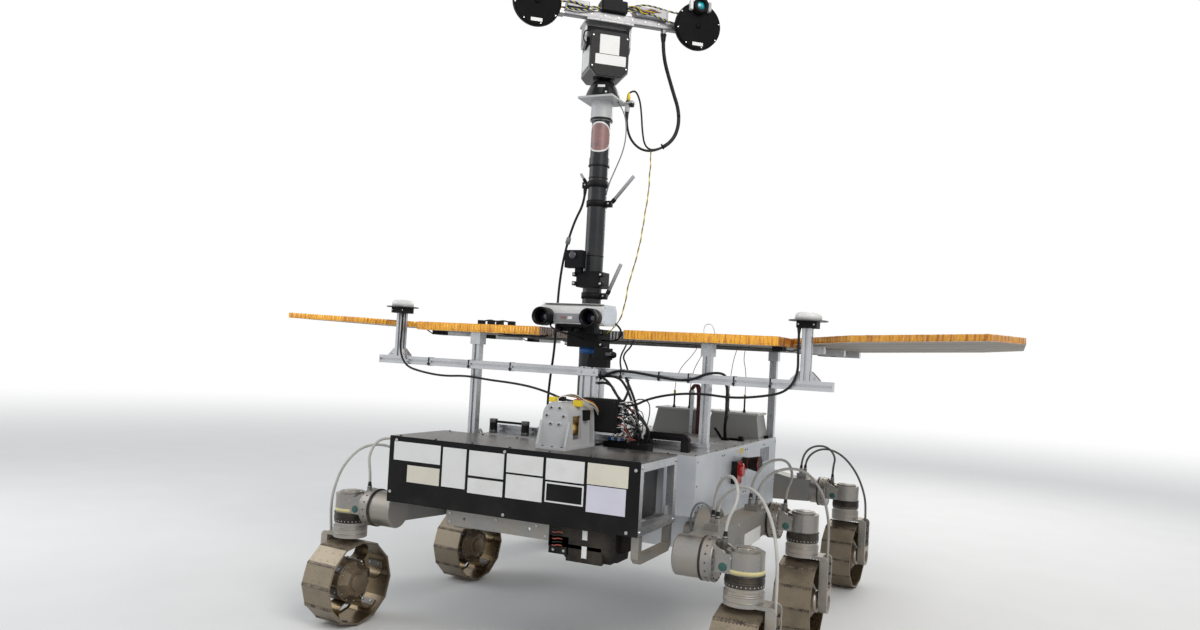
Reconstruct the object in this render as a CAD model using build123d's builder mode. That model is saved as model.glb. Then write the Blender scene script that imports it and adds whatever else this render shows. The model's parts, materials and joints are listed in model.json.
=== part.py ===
"""Six-wheeled planetary rover with a mast, a masthead on a pan and tilt unit and a solar array.

Millimetres. +Z is up, the front faces -Y and the rover's left side is +X.
The origin is on the ground under the middle of the rover.
"""
from build123d import *
import math
import os

# Running gear
TRACK_HALF = 712.0          # centre line to a steering axis
FRONT_Y = -839.0            # steering axes of the front, middle and rear wheels
MID_Y = -72.0
REAR_Y = 842.0
TIP_RADIUS = 148.0          # wheel radius to the grouser tips
RIM_CORNER = 145.0          # radius to the corners of the rim, where its flat plates meet
RIM_WALL = 3.0
WHEEL_WIDTH = 132.0
AXLE_Z = TIP_RADIUS
GROUSERS = 12               # one at each corner of the rim
GROUSER_THICK = 2.5
SPRINGS = 6                 # bent leaf springs between the hub and the rim
HUB_RADIUS = 72.0
SPRING_THICK = 3.0
SPRING_WIDTH = 64.0
SPRING_SEAT = 1.4           # how far a spring is let into the hub and the rim
CLAMP = (5.0, 24.0)         # thickness and width of the clamps at a spring's ends
STUB_RADIUS = 25.0
BORE_RADIUS = 25.5          # bore in the leg round the wheel's stub

# Steering legs
LEG_INNER = 73.0            # steering axis to the leg's inner face
LEG_DEPTH = 30.0
LEG_HALF = 38.0             # half the leg's width along the rover
LEG_WALL = 7.0
CHANNEL_BOTTOM = 194.0      # lower end of the open channel in the leg
PLATE_BOTTOM = 304.0
PLATE_TOP = 314.0
SWIVEL_RADIUS = 58.0
SWIVEL_TOP = 356.0
JOINT_GAP = 0.3
RING_TOP = 392.0
HOUSING_TOP = 455.0
CAP_TOP = 462.0
DRUM_Z = 417.0              # height of the cross-ways drive drums
DRUM_RADIUS = 60.0
FLANGE_RADIUS = 64.0
FLANGE_IN = -121.0          # the bolted flange, from the steering axis
FLANGE_OUT = -82.0
DRUM_IN = -204.0
REAR_DRUM_IN = -157.0
REAR_DRUM_RADIUS = 55.0
GUSSET = (38.0, 46.0)       # inner and outer faces of the webs on a steering arm

# Bogies
BEAM_IN = 520.0             # inner and outer faces of the side bogie beams
BEAM_OUT = 587.0
BEAM_BOTTOM = 375.0
BEAM_TOP = 470.0
PIVOT_Y = (FRONT_Y + MID_Y) / 2
PIVOT_Z = 402.0
REAR_BEAM_Y = REAR_Y
REAR_BEAM_DEPTH = 104.0
REAR_PIVOT_Z = 428.0

# Cables: conduits on the running gear, leads on the mast and the cross beam
CONDUIT = 9.6
CORD_SIDES = 8
TERMINAL = (44.0, 62.0, 22.0)
TERMINAL_TOP = BEAM_TOP + TERMINAL[2]
GLAND_RADIUS = 9.0
GLAND_TOP = TERMINAL_TOP + 16.0
SOCKET = (-66.0, 10.0)      # socket on a steering arm, from the steering axis
SOCKET_TOP = 478.0
HEAD_CABLE = 12.0
MAST_CABLE = 9.0
BEAM_CABLE = 8.0

# Body and front box
BODY_HALF = 437.0
BODY_FRONT = -505.0
BODY_REAR = 588.0
BODY_BOTTOM = 466.0
BODY_TOP = 668.0
LID_THICK = 4.0
TUB_HALF = 400.0
TUB_BOTTOM = 345.0
TUB_FRONT = -440.0
NECK_HALF = 360.0           # narrower part of the body that meets the front box
BOX_RIGHT = -505.0
BOX_LEFT = 405.0
BOX_FRONT = -912.0
BOX_BACK = -597.0
BOX_BOTTOM = 460.0
BOX_TOP = 680.0
BOX_BAR = 25.0              # section of the box frame's bars
PANEL_THICK = 4.0
HOLE_SPACING = 240.0        # two free holes in the plate under the box
HOLE_RADIUS = 5.0

# Mast
MAST_Y = -465.0
MAST_RADIUS = 34.0
COLLAR_RADIUS = 39.5
COLLAR_BOTTOM = 1825.0
COLLAR_TOP = 1897.0
HEAD_PLATE = 136.0
HEAD_PLATE_TOP = 1904.0
HEAD_SOCKET = (78.0, -420.0, 1868.0)    # lower end of the socket beside the head plate
PROFILE = 30.0              # section of the slotted aluminium profiles
SLOT_WIDTH = 8.2
SLOT_DEPTH = 9.0
CROSS_Y = -520.0
CROSS_Z = 927.0
CROSS_HALF = 876.0
ANTENNA_X = 788.0
ANTENNA_POST_TOP = 1108.0
MAST_POST_X = 50.0
MAST_POST_TOP = 945.0

# Masthead, modelled facing the front and then turned about the mast
PAN_REST = 40.0
PAN_HALF = 70.0
PAN_BODY = 62.0             # half depth of the pan housing, and its top's radius
PAN_BOTTOM = 1970.0
TILT_Z = 2100.0
EAR_IN = 78.0
EAR_OUT = 86.0
FRAME_BOTTOM = 2168.0
FRAME_TOP = 2176.0
TUBE = 28.0
TUBE_X = (-200.0, 262.0)
TUBE_Y = -34.0
HEAD_GLAND_X = 205.0
HEAD_GLAND_DROP = 14.0
DISC_X = (-277.0, 307.0)
DISC_Z = 2180.0
DISC_RADIUS = 83.0
DISC_FRONT = -118.0
DISC_THICK = 24.0
LENS_Z = 2248.0

# Actuator on the front box, and the electronics on the slotted post
ACTUATOR_X = 62.0
ACTUATOR_Z = 786.0
ACTUATOR_FRONT = -812.0
ACTUATOR_BACK = -620.0
ACTUATOR_PLATE = 8.0
ACTUATOR_TOP_HALF = 46.0    # half widths of the plates at the motor's height and at the base
ACTUATOR_HALF = 54.0
ACTUATOR_RIB = 22.0         # how far the ribs reach in front of the plate
COVER_LENGTH = 150.0
MOTOR_RADIUS = 34.0
COVER_GAP = 3.0
ELECTRONICS = (120.0, -589.0, 785.0)
ELECTRONICS_SIZE = (134.0, 48.0, 112.0)

# Solar array
ARRAY_TOP = 1078.0
ARRAY_THICK = 30.0
ARRAY_HALF = 700.0
ARRAY_FRONT = -537.0
ARRAY_REAR = 678.0
NOTCH_HALF = 165.0
NOTCH_BACK = -372.0
WING_THICK = 20.0
WING_RISE = (2.9, 1.2)      # degrees that the left and right wings rise outwards
SUPPORT_TOP = 1003.0

# Where a bogie's terminal stands, and the routes that start on it: each entry holds the distance out from
# the steering axis, the distance along towards the bogie's pivot and, for a route, the height
SIDE_TERMINAL = (-147.0, 158.0)
REAR_TERMINAL = (-200.0, 0.0)
SIDE_STEERING_ROUTE = [
    (-134, 148, GLAND_TOP), (-134, 148, 560), (-74, 116, 620), (8, 60, 622), (66, 20, 548), (90, 2, 452),
    (93, -0.5, 378), (91.5, 0, 286), (91.5, 0.5, CHANNEL_BOTTOM + JOINT_GAP),
]
REAR_STEERING_ROUTE = [
    (-194, 16, GLAND_TOP), (-194, 16, 562), (-124, 24, 616), (-36, 24, 598), (40, 14, 520), (84, 2, 420),
    (92, 0.5, 345), (91.5, 0, 268), (91.5, 0.5, CHANNEL_BOTTOM + JOINT_GAP),
]
SIDE_DRIVE_ROUTE = [
    (-154, 168, GLAND_TOP), (-154, 168, 566), (-120, 128, 640), (-58, 60, 654), (-36, 28, 590),
    (SOCKET[0], SOCKET[1], 528), (SOCKET[0], SOCKET[1], SOCKET_TOP),
]
REAR_DRIVE_ROUTE = [
    (-206, -14, GLAND_TOP), (-206, -14, 566), (-166, -10, 620), (-94, -5, 628), (-54, 4, 580),
    (SOCKET[0], SOCKET[1], 528), (SOCKET[0], SOCKET[1], SOCKET_TOP),
]
# x, y and height of the points of the other cables
HEAD_ROUTE = [
    (178.9, -359.3, FRAME_TOP - HEAD_GLAND_DROP - JOINT_GAP), (178.9, -359.3, 2092), (204, -322, 1985),
    (236, -292, 1880), (222, -300, 1788), (160, -345, 1736), (110, -386, 1742),
    (HEAD_SOCKET[0], HEAD_SOCKET[1], 1800), HEAD_SOCKET,
]
MAST_ROUTE = [
    (-50, MAST_Y, 1586), (-50, MAST_Y, 1536), (-88, -467, 1462), (-118, -469, 1350), (-132, -470, 1236),
    (-136, -467, 1120), (-140, -462, 1004), (-156, -455, 890), (-164, -449, 800), (-158, -446, 732),
    (-158, -446, BODY_TOP),
]
LEFT_BEAM_ROUTE = [
    (766, -546, ANTENNA_POST_TOP), (766, -546, 1034), (770, -547, 962), (738, -547, 904), (660, -546, 884),
    (560, -547, 872), (460, -547, 880), (360, -547, 872), (276, -562, 850), (236, -589, 822),
    (ELECTRONICS[0] + ELECTRONICS_SIZE[0] / 2, -589, 822),
]
RIGHT_BEAM_ROUTE = [
    (-766, -546, ANTENNA_POST_TOP), (-766, -546, 1034), (-770, -547, 962), (-738, -547, 904),
    (-660, -546, 886), (-560, -547, 876), (-460, -546, 884), (-360, -547, 874), (-262, -552, 870),
    (-172, -566, 862), (-88, -582, 846), (-12, -589, 822),
    (ELECTRONICS[0] - ELECTRONICS_SIZE[0] / 2, -589, 822),
]

# name, side (1 is the left), y of the steering axis, steering angle at rest in degrees
CORNERS = [
    ("front_left", 1, FRONT_Y, 0.0),
    ("front_right", -1, FRONT_Y, -6.7),
    ("mid_left", 1, MID_Y, 0.0),
    ("mid_right", -1, MID_Y, -8.4),
    ("rear_left", 1, REAR_Y, -5.1),
    ("rear_right", -1, REAR_Y, 0.0),
]


def turned(side):
    """Degrees that turn a left-hand unit to face outwards on the given side."""
    return 0.0 if side > 0 else 180.0


def corner_place(side, y, steer=0.0):
    """Where a unit modelled round a steering axis at the origin stands on the rover."""
    return Location((side * TRACK_HALF, y, 0), (0, 0, turned(side) + steer))


def write(part, name):
    """Label a finished piece and write its STEP file."""
    part.label = name
    export_step(part, f"parts/{name}.step")


def lean(y):
    """1 where a bogie's pivot lies behind a steering axis and -1 where it lies in front."""
    return -1 if PIVOT_Y < y < 0 else 1


def conduit_route(table, side, y, steer):
    """A route's points on the rover: what stands in the leg's channel is turned with the leg."""
    points = []
    for out, along, z in table:
        angle = math.radians(steer) if z < SWIVEL_TOP else 0.0
        dx = side * out
        dy = lean(y) * along
        points.append((
            side * TRACK_HALF + dx * math.cos(angle) - dy * math.sin(angle),
            y + dx * math.sin(angle) + dy * math.cos(angle),
            z,
        ))
    return points


def cable(points, diameter):
    """A cable along straight runs joined by arcs as wide as the runs allow."""
    runs = [Vector(b) - Vector(a) for a, b in zip(points, points[1:])]
    radii = []
    for before, after in zip(runs, runs[1:]):
        half_turn = math.radians(before.get_angle(after)) / 2
        radii.append(0.45 * min(before.length, after.length) / math.tan(half_turn))
    with BuildPart() as tube:
        with BuildLine():
            path = FilletPolyline(*points, radius=radii)
        with BuildSketch(Plane(origin=points[0], z_dir=runs[0])) as section:
            RegularPolygon(diameter / 2, CORD_SIDES)
        sweep()
    expected = section.sketch.area * path.length
    print("cable of", diameter, "radii", [round(r) for r in radii], "length", round(path.length),
          "volume over section times length", round(tube.part.volume / expected, 4))
    return tube.part


def write_cables(cables, name):
    """Write cables as the solids of one node."""
    with BuildPart() as joined:
        for piece in cables:
            add(piece)
    write(joined.part, name)


os.makedirs("parts", exist_ok=True)

fixed_places = [corner_place(side, y) for _, side, y, _ in CORNERS]
side_places = fixed_places[:4]
rear_places = fixed_places[4:]

# Wheel: a thin rim of flat plates with grousers, bent leaf springs and a wide hub, its axle along X
rim_inside = (RIM_CORNER - RIM_WALL) * math.cos(math.pi / GROUSERS)
spring_radius = (rim_inside - HUB_RADIUS) / 2 + SPRING_SEAT
spring_centre = (rim_inside + HUB_RADIUS) / 2
clamp_at_rim = spring_radius - SPRING_SEAT - CLAMP[0] / 2
clamp_at_hub = SPRING_SEAT - spring_radius
with BuildPart() as wheel:
    with BuildSketch(Plane.YZ.offset(-WHEEL_WIDTH / 2)):
        RegularPolygon(RIM_CORNER, GROUSERS)
        with PolarLocations(RIM_CORNER, GROUSERS):
            Rectangle(2 * (TIP_RADIUS - RIM_CORNER), GROUSER_THICK)
        RegularPolygon(RIM_CORNER - RIM_WALL, GROUSERS, mode=Mode.SUBTRACT)
    extrude(amount=WHEEL_WIDTH)
    with BuildSketch(Plane.YZ.offset(-SPRING_WIDTH / 2)):
        with PolarLocations(spring_centre, SPRINGS, start_angle=180 / GROUSERS):
            Circle(spring_radius)
            Circle(spring_radius - SPRING_THICK, mode=Mode.SUBTRACT)
            with Locations((0, -spring_radius / 2)):
                Rectangle(2 * spring_radius, spring_radius, mode=Mode.SUBTRACT)
            with Locations((clamp_at_rim, 0), (clamp_at_hub, 0)):
                Rectangle(*CLAMP)
    extrude(amount=SPRING_WIDTH)
    with BuildSketch(Plane.XY):
        with BuildLine():
            Polyline(
                (-60, 0), (-60, 66), (-54, HUB_RADIUS), (38, HUB_RADIUS),
                (56, 40), (66, 40), (66, STUB_RADIUS), (96, STUB_RADIUS), (96, 0), close=True,
            )
        make_face()
    revolve(axis=Axis.X)

# Steering leg: a swivel disc, a top plate and a channel, open at its top, that runs down outside the wheel
leg_outer = LEG_INNER + LEG_DEPTH
with BuildPart() as leg:
    with BuildSketch(Plane.XY.offset(PLATE_BOTTOM)):
        Circle(SWIVEL_RADIUS)
        with Locations((leg_outer / 2, 0)):
            Rectangle(leg_outer, 2 * LEG_HALF)
    extrude(amount=PLATE_TOP - PLATE_BOTTOM)
    with BuildSketch(Plane.XY.offset(PLATE_TOP)):
        Circle(SWIVEL_RADIUS)
    extrude(amount=30)
    with BuildSketch(Plane.XY.offset(PLATE_TOP + 30)):
        Circle(SWIVEL_RADIUS - 4)
    extrude(amount=SWIVEL_TOP - PLATE_TOP - 30)
    with BuildSketch(Plane.YZ.offset(LEG_INNER)):
        with Locations((0, (AXLE_Z + PLATE_TOP) / 2)):
            Rectangle(2 * LEG_HALF, PLATE_TOP - AXLE_Z)
        with Locations((0, AXLE_Z)):
            Circle(LEG_HALF)
    extrude(amount=LEG_DEPTH)
    outer_edge = leg.edges().filter_by(Axis.Y).sort_by(Axis.X)[-2:].sort_by(Axis.Z)[-1]
    fillet(outer_edge, 18)
    with BuildSketch(Plane.YZ.offset(LEG_INNER + LEG_WALL)):
        with Locations((0, (CHANNEL_BOTTOM + SWIVEL_TOP) / 2)):
            Rectangle(2 * (LEG_HALF - LEG_WALL), SWIVEL_TOP - CHANNEL_BOTTOM)
    extrude(amount=LEG_DEPTH, mode=Mode.SUBTRACT)
    with BuildSketch(Plane.YZ.offset(LEG_INNER)):
        with Locations((0, AXLE_Z)):
            Circle(BORE_RADIUS)
    extrude(amount=LEG_DEPTH, mode=Mode.SUBTRACT)

for name, side, y, steer in CORNERS:
    place = corner_place(side, y, steer)
    with BuildPart() as steering_leg:
        with Locations(place):
            add(leg.part)
    write(steering_leg.part, f"steering_leg_{name}")
    with BuildPart() as placed_wheel:
        with Locations(place * Location((0, 0, AXLE_Z))):
            add(wheel.part)
    write(placed_wheel.part, f"wheel_{name}")

# Steering ring, housing and arm of one corner
arm_top = HOUSING_TOP - 8
with BuildPart() as ring:
    with BuildSketch(Plane.XY.offset(SWIVEL_TOP + JOINT_GAP)):
        Circle(SWIVEL_RADIUS - 1)
    extrude(amount=RING_TOP - SWIVEL_TOP - JOINT_GAP)
with BuildPart() as housing:
    with BuildSketch(Plane.XY.offset(RING_TOP)):
        Circle(SWIVEL_RADIUS - 3)
    extrude(amount=HOUSING_TOP - RING_TOP)
    with BuildSketch(Plane.XY.offset(HOUSING_TOP)):
        Circle(SWIVEL_RADIUS - 16)
    extrude(amount=CAP_TOP - HOUSING_TOP)
with BuildPart() as arm:
    with BuildSketch(Plane.YZ.offset(FLANGE_IN)):
        with Locations((0, DRUM_Z)):
            Circle(FLANGE_RADIUS)
    extrude(amount=FLANGE_OUT - FLANGE_IN)
    with Locations(((FLANGE_OUT - 21) / 2, 0, (RING_TOP + arm_top) / 2)):
        Box(-20 - FLANGE_OUT + 1, 2 * GUSSET[1], arm_top - RING_TOP)
    for web_y in (-GUSSET[1], GUSSET[0]):
        with BuildSketch(Plane.XZ.offset(-web_y)):
            with BuildLine():
                Polyline(
                    (FLANGE_OUT - 1, arm_top), (-44, arm_top), (FLANGE_OUT - 1, DRUM_Z + FLANGE_RADIUS - 12),
                    close=True,
                )
            make_face()
        extrude(amount=GUSSET[0] - GUSSET[1])
    with BuildSketch(Plane.XY.offset(RING_TOP)):
        Circle(SWIVEL_RADIUS - 3)
    extrude(amount=HOUSING_TOP - RING_TOP, mode=Mode.SUBTRACT)

with BuildPart() as steering_rings:
    with Locations(*fixed_places):
        add(ring.part)
write(steering_rings.part, "steering_rings")
with BuildPart() as steering_housings:
    with Locations(*fixed_places):
        add(housing.part)
write(steering_housings.part, "steering_housings")
with BuildPart() as steering_arms:
    with Locations(*fixed_places):
        add(arm.part)
write(steering_arms.part, "steering_arms")

# Drive drums, long on the side bogies and short at the rear
with BuildPart() as side_drum:
    with BuildSketch(Plane.YZ.offset(DRUM_IN)):
        with Locations((0, DRUM_Z)):
            Circle(DRUM_RADIUS)
    extrude(amount=FLANGE_IN - DRUM_IN)
    chamfer(side_drum.edges().sort_by(Axis.X)[0], 3)
with BuildPart() as rear_drum:
    with BuildSketch(Plane.YZ.offset(REAR_DRUM_IN)):
        with Locations((0, DRUM_Z)):
            Circle(REAR_DRUM_RADIUS)
    extrude(amount=FLANGE_IN - REAR_DRUM_IN)
with BuildPart() as drive_drums:
    with Locations(*side_places):
        add(side_drum.part)
    with Locations(*rear_places):
        add(rear_drum.part)
write(drive_drums.part, "drive_drums")

# Side bogie beams, hollowed at both ends to seat on the drums
with BuildPart() as side_beam:
    with BuildSketch(Plane.YZ.offset(BEAM_IN)):
        with BuildLine():
            Polyline(
                (FRONT_Y + 30, BEAM_BOTTOM), (PIVOT_Y - 90, BEAM_BOTTOM - 14),
                (PIVOT_Y + 90, BEAM_BOTTOM - 14), (MID_Y - 30, BEAM_BOTTOM),
                (MID_Y - 30, BEAM_TOP), (FRONT_Y + 30, BEAM_TOP), close=True,
            )
        make_face()
        for y in (FRONT_Y, MID_Y):
            with Locations((y, DRUM_Z)):
                Circle(DRUM_RADIUS, mode=Mode.SUBTRACT)
    extrude(amount=BEAM_OUT - BEAM_IN)
write(side_beam.part, "bogie_beam_left")
with BuildPart() as right_beam:
    add(mirror(side_beam.part, about=Plane.YZ, mode=Mode.PRIVATE))
write(right_beam.part, "bogie_beam_right")

# Rear bogie beam across the back, deeper at its pivot
rear_end = TRACK_HALF + REAR_DRUM_IN
with BuildPart() as rear_beam:
    with BuildSketch(Plane.XZ.offset(-REAR_BEAM_Y)):
        with BuildLine():
            Polyline(
                (-rear_end, 372), (-rear_end, BEAM_TOP), (-470, BEAM_TOP), (-380, 488), (380, 488),
                (470, BEAM_TOP), (rear_end, BEAM_TOP), (rear_end, 372), (300, 362), (-300, 362), close=True,
            )
        make_face()
    extrude(amount=REAR_BEAM_DEPTH / 2, both=True)
write(rear_beam.part, "bogie_beam_rear")

# Pivots that carry the three bogies on the chassis tub
with BuildPart() as side_pivot:
    with BuildSketch(Plane.XY):
        with BuildLine():
            Polyline(
                (TUB_HALF, 0), (TUB_HALF, 40), (455, 40), (455, 100), (505, 100), (505, 62),
                (BEAM_IN, 62), (BEAM_IN, 0), close=True,
            )
        make_face()
    revolve(axis=Axis.X)
with BuildPart() as rear_pivot:
    with BuildSketch(Plane.YZ):
        with BuildLine():
            Polyline(
                (BODY_REAR, 0), (BODY_REAR, 70), (BODY_REAR + 14, 70), (BODY_REAR + 14, 45),
                (REAR_BEAM_Y - REAR_BEAM_DEPTH / 2 - 16, 45),
                (REAR_BEAM_Y - REAR_BEAM_DEPTH / 2 - 16, 60),
                (REAR_BEAM_Y - REAR_BEAM_DEPTH / 2, 60), (REAR_BEAM_Y - REAR_BEAM_DEPTH / 2, 0),
                close=True,
            )
        make_face()
    revolve(axis=Axis.Y)
with BuildPart() as bogie_pivots:
    with Locations((0, PIVOT_Y, PIVOT_Z)):
        add(side_pivot.part)
    with Locations(Location((0, PIVOT_Y, PIVOT_Z), (0, 0, 180))):
        add(side_pivot.part)
    with Locations((0, 0, REAR_PIVOT_Z)):
        add(rear_pivot.part)
write(bogie_pivots.part, "bogie_pivots")

# Chassis tub under the body, as wide as the body at the rear
with BuildPart() as chassis_tub:
    with BuildSketch(Plane.XY.offset(TUB_BOTTOM)):
        with Locations((0, (TUB_FRONT + BODY_REAR) / 2)):
            Rectangle(2 * TUB_HALF, BODY_REAR - TUB_FRONT)
        with Locations((0, (360 + BODY_REAR) / 2)):
            Rectangle(2 * BODY_HALF, BODY_REAR - 360)
    extrude(amount=BODY_BOTTOM - TUB_BOTTOM)
write(chassis_tub.part, "chassis_tub")

# Body: a sheet metal housing with a lid, narrower where it meets the front box
body_outline = Polyline(
    (-NECK_HALF, BOX_BACK), (-NECK_HALF, BODY_FRONT), (-BODY_HALF, BODY_FRONT), (-BODY_HALF, BODY_REAR),
    (BODY_HALF, BODY_REAR), (BODY_HALF, BODY_FRONT), (NECK_HALF, BODY_FRONT), (NECK_HALF, BOX_BACK),
    close=True,
)
body_face = make_face(body_outline)
with BuildPart() as body_shell:
    with BuildSketch(Plane.XY.offset(BODY_BOTTOM)):
        add(body_face)
    extrude(amount=BODY_TOP - LID_THICK - BODY_BOTTOM)
write(body_shell.part, "body_shell")
with BuildPart() as body_lid:
    with BuildSketch(Plane.XY.offset(BODY_TOP - LID_THICK)):
        add(body_face)
    extrude(amount=LID_THICK)
write(body_lid.part, "body_lid")

# Front box: a frame of bars with a front panel, a top plate and equipment inside
box_mid_x = (BOX_RIGHT + BOX_LEFT) / 2
box_width = BOX_LEFT - BOX_RIGHT
box_depth = BOX_BACK - BOX_FRONT - PANEL_THICK
box_mid_y = (BOX_FRONT + PANEL_THICK + BOX_BACK) / 2
top_thick = 6.0
frame_top = BOX_TOP - top_thick
with BuildPart() as front_box_frame:
    with Locations((box_mid_x, box_mid_y, (BOX_BOTTOM + frame_top) / 2)):
        Box(box_width, box_depth, frame_top - BOX_BOTTOM)
        Box(box_width, box_depth - 2 * BOX_BAR, frame_top - BOX_BOTTOM - 2 * BOX_BAR, mode=Mode.SUBTRACT)
        Box(box_width - 2 * BOX_BAR, box_depth, frame_top - BOX_BOTTOM - 2 * BOX_BAR, mode=Mode.SUBTRACT)
        Box(box_width - 2 * BOX_BAR, box_depth - 2 * BOX_BAR, frame_top - BOX_BOTTOM, mode=Mode.SUBTRACT)
write(front_box_frame.part, "front_box_frame")
with BuildPart() as front_panel:
    with BuildSketch(Plane.XZ.offset(-BOX_FRONT)):
        with Locations((box_mid_x, (BOX_BOTTOM + BOX_TOP) / 2)):
            Rectangle(box_width, BOX_TOP - BOX_BOTTOM)
    extrude(amount=-PANEL_THICK)
write(front_panel.part, "front_panel")
with BuildPart() as front_top_plate:
    with BuildSketch(Plane.XY.offset(frame_top)):
        with Locations((box_mid_x, box_mid_y)):
            Rectangle(box_width, box_depth)
    extrude(amount=top_thick)
write(front_top_plate.part, "front_top_plate")
core_bottom = BOX_BOTTOM + BOX_BAR
core_top = frame_top - BOX_BAR - 9
with BuildPart() as front_box_core:
    with Locations((box_mid_x - 20, box_mid_y, (core_bottom + core_top) / 2)):
        Box(box_width - 240, box_depth - 16, core_top - core_bottom)
write(front_box_core.part, "front_box_core")

# Under the front box: a drilled plate, a short leg frame and an instrument with a lower housing
under_front = BOX_FRONT + 20
with BuildPart() as front_under_gear:
    with BuildSketch(Plane.XZ.offset(-under_front)):
        with Locations((-86, BOX_BOTTOM - 26)):
            Rectangle(380, 52)
            with GridLocations(HOLE_SPACING, 1, 2, 1):
                Circle(HOLE_RADIUS, mode=Mode.SUBTRACT)
    extrude(amount=-5)
    with BuildSketch(Plane.YZ.offset(376)):
        with BuildLine():
            Polyline(
                (under_front + 8, BOX_BOTTOM), (under_front + 8, BOX_BOTTOM - 70),
                (under_front + 30, BOX_BOTTOM - 88), (BOX_BACK - 30, BOX_BOTTOM - 88),
                (BOX_BACK - 8, BOX_BOTTOM - 70), (BOX_BACK - 8, BOX_BOTTOM),
                (BOX_BACK - 34, BOX_BOTTOM), (BOX_BACK - 34, BOX_BOTTOM - 62),
                (under_front + 34, BOX_BOTTOM - 62), (under_front + 34, BOX_BOTTOM), close=True,
            )
        make_face()
    extrude(amount=24)
write(front_under_gear.part, "front_under_gear")
with BuildPart() as under_instrument:
    with BuildSketch(Plane.YZ.offset(104)):
        with BuildLine():
            Polyline(
                (under_front, BOX_BOTTOM), (under_front, BOX_BOTTOM - 64),
                (under_front + 18, BOX_BOTTOM - 92), (under_front + 100, BOX_BOTTOM - 92),
                (under_front + 118, BOX_BOTTOM), close=True,
            )
        make_face()
    extrude(amount=226)
    with BuildSketch(Plane.XZ.offset(-under_front - 18)):
        with BuildLine():
            Polyline(
                (150, BOX_BOTTOM - 92), (164, BOX_BOTTOM - 108), (240, BOX_BOTTOM - 108),
                (262, BOX_BOTTOM - 92), close=True,
            )
        make_face()
    extrude(amount=-70)
write(under_instrument.part, "under_instrument")

# Mast tube on a bolted base, its collar with a square plate, and the pan pedestal
with BuildPart() as mast_tube:
    with BuildSketch(Plane.XY.offset(BODY_TOP)):
        with Locations((0, MAST_Y + 22)):
            RectangleRounded(130, 120, 8)
    extrude(amount=10)
    with BuildSketch(Plane.XY.offset(BODY_TOP)):
        with Locations((0, MAST_Y)):
            Circle(MAST_RADIUS)
    extrude(amount=COLLAR_BOTTOM - BODY_TOP)
    with BuildSketch(Plane.XY.offset(1660)):
        with Locations((0, MAST_Y)):
            Circle(MAST_RADIUS + 2.5)
    extrude(amount=32)
write(mast_tube.part, "mast_tube")
with BuildPart() as mast_collar:
    with BuildSketch(Plane.XY.offset(COLLAR_BOTTOM)):
        with Locations((0, MAST_Y)):
            Circle(COLLAR_RADIUS)
    extrude(amount=COLLAR_TOP - COLLAR_BOTTOM)
    with BuildSketch(Plane.XY.offset(COLLAR_TOP)):
        with Locations((0, MAST_Y)):
            RectangleRounded(HEAD_PLATE, HEAD_PLATE, 4)
    extrude(amount=HEAD_PLATE_TOP - COLLAR_TOP)
    with BuildSketch(Plane.XY.offset(COLLAR_TOP)):
        with Locations((HEAD_PLATE / 2 + 12, HEAD_SOCKET[1])):
            Rectangle(44, 30)
    extrude(amount=4)
    with BuildSketch(Plane.XY.offset(HEAD_SOCKET[2])):
        with Locations(HEAD_SOCKET[:2]):
            RegularPolygon(10, 6)
    extrude(amount=COLLAR_TOP - HEAD_SOCKET[2])
write(mast_collar.part, "mast_collar")
with BuildPart() as pan_pedestal:
    with BuildSketch(Plane.XZ):
        with BuildLine():
            Polyline(
                (0, HEAD_PLATE_TOP), (64, HEAD_PLATE_TOP), (64, HEAD_PLATE_TOP + 6),
                (56, HEAD_PLATE_TOP + 28), (40, HEAD_PLATE_TOP + 44), (27, HEAD_PLATE_TOP + 50),
                (25, PAN_BOTTOM - JOINT_GAP), (0, PAN_BOTTOM - JOINT_GAP), close=True,
            )
        make_face()
    revolve(axis=Axis.Z)
with BuildPart() as placed_pedestal:
    with Locations((0, MAST_Y, 0)):
        add(pan_pedestal.part)
write(placed_pedestal.part, "pan_pedestal")

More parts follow.
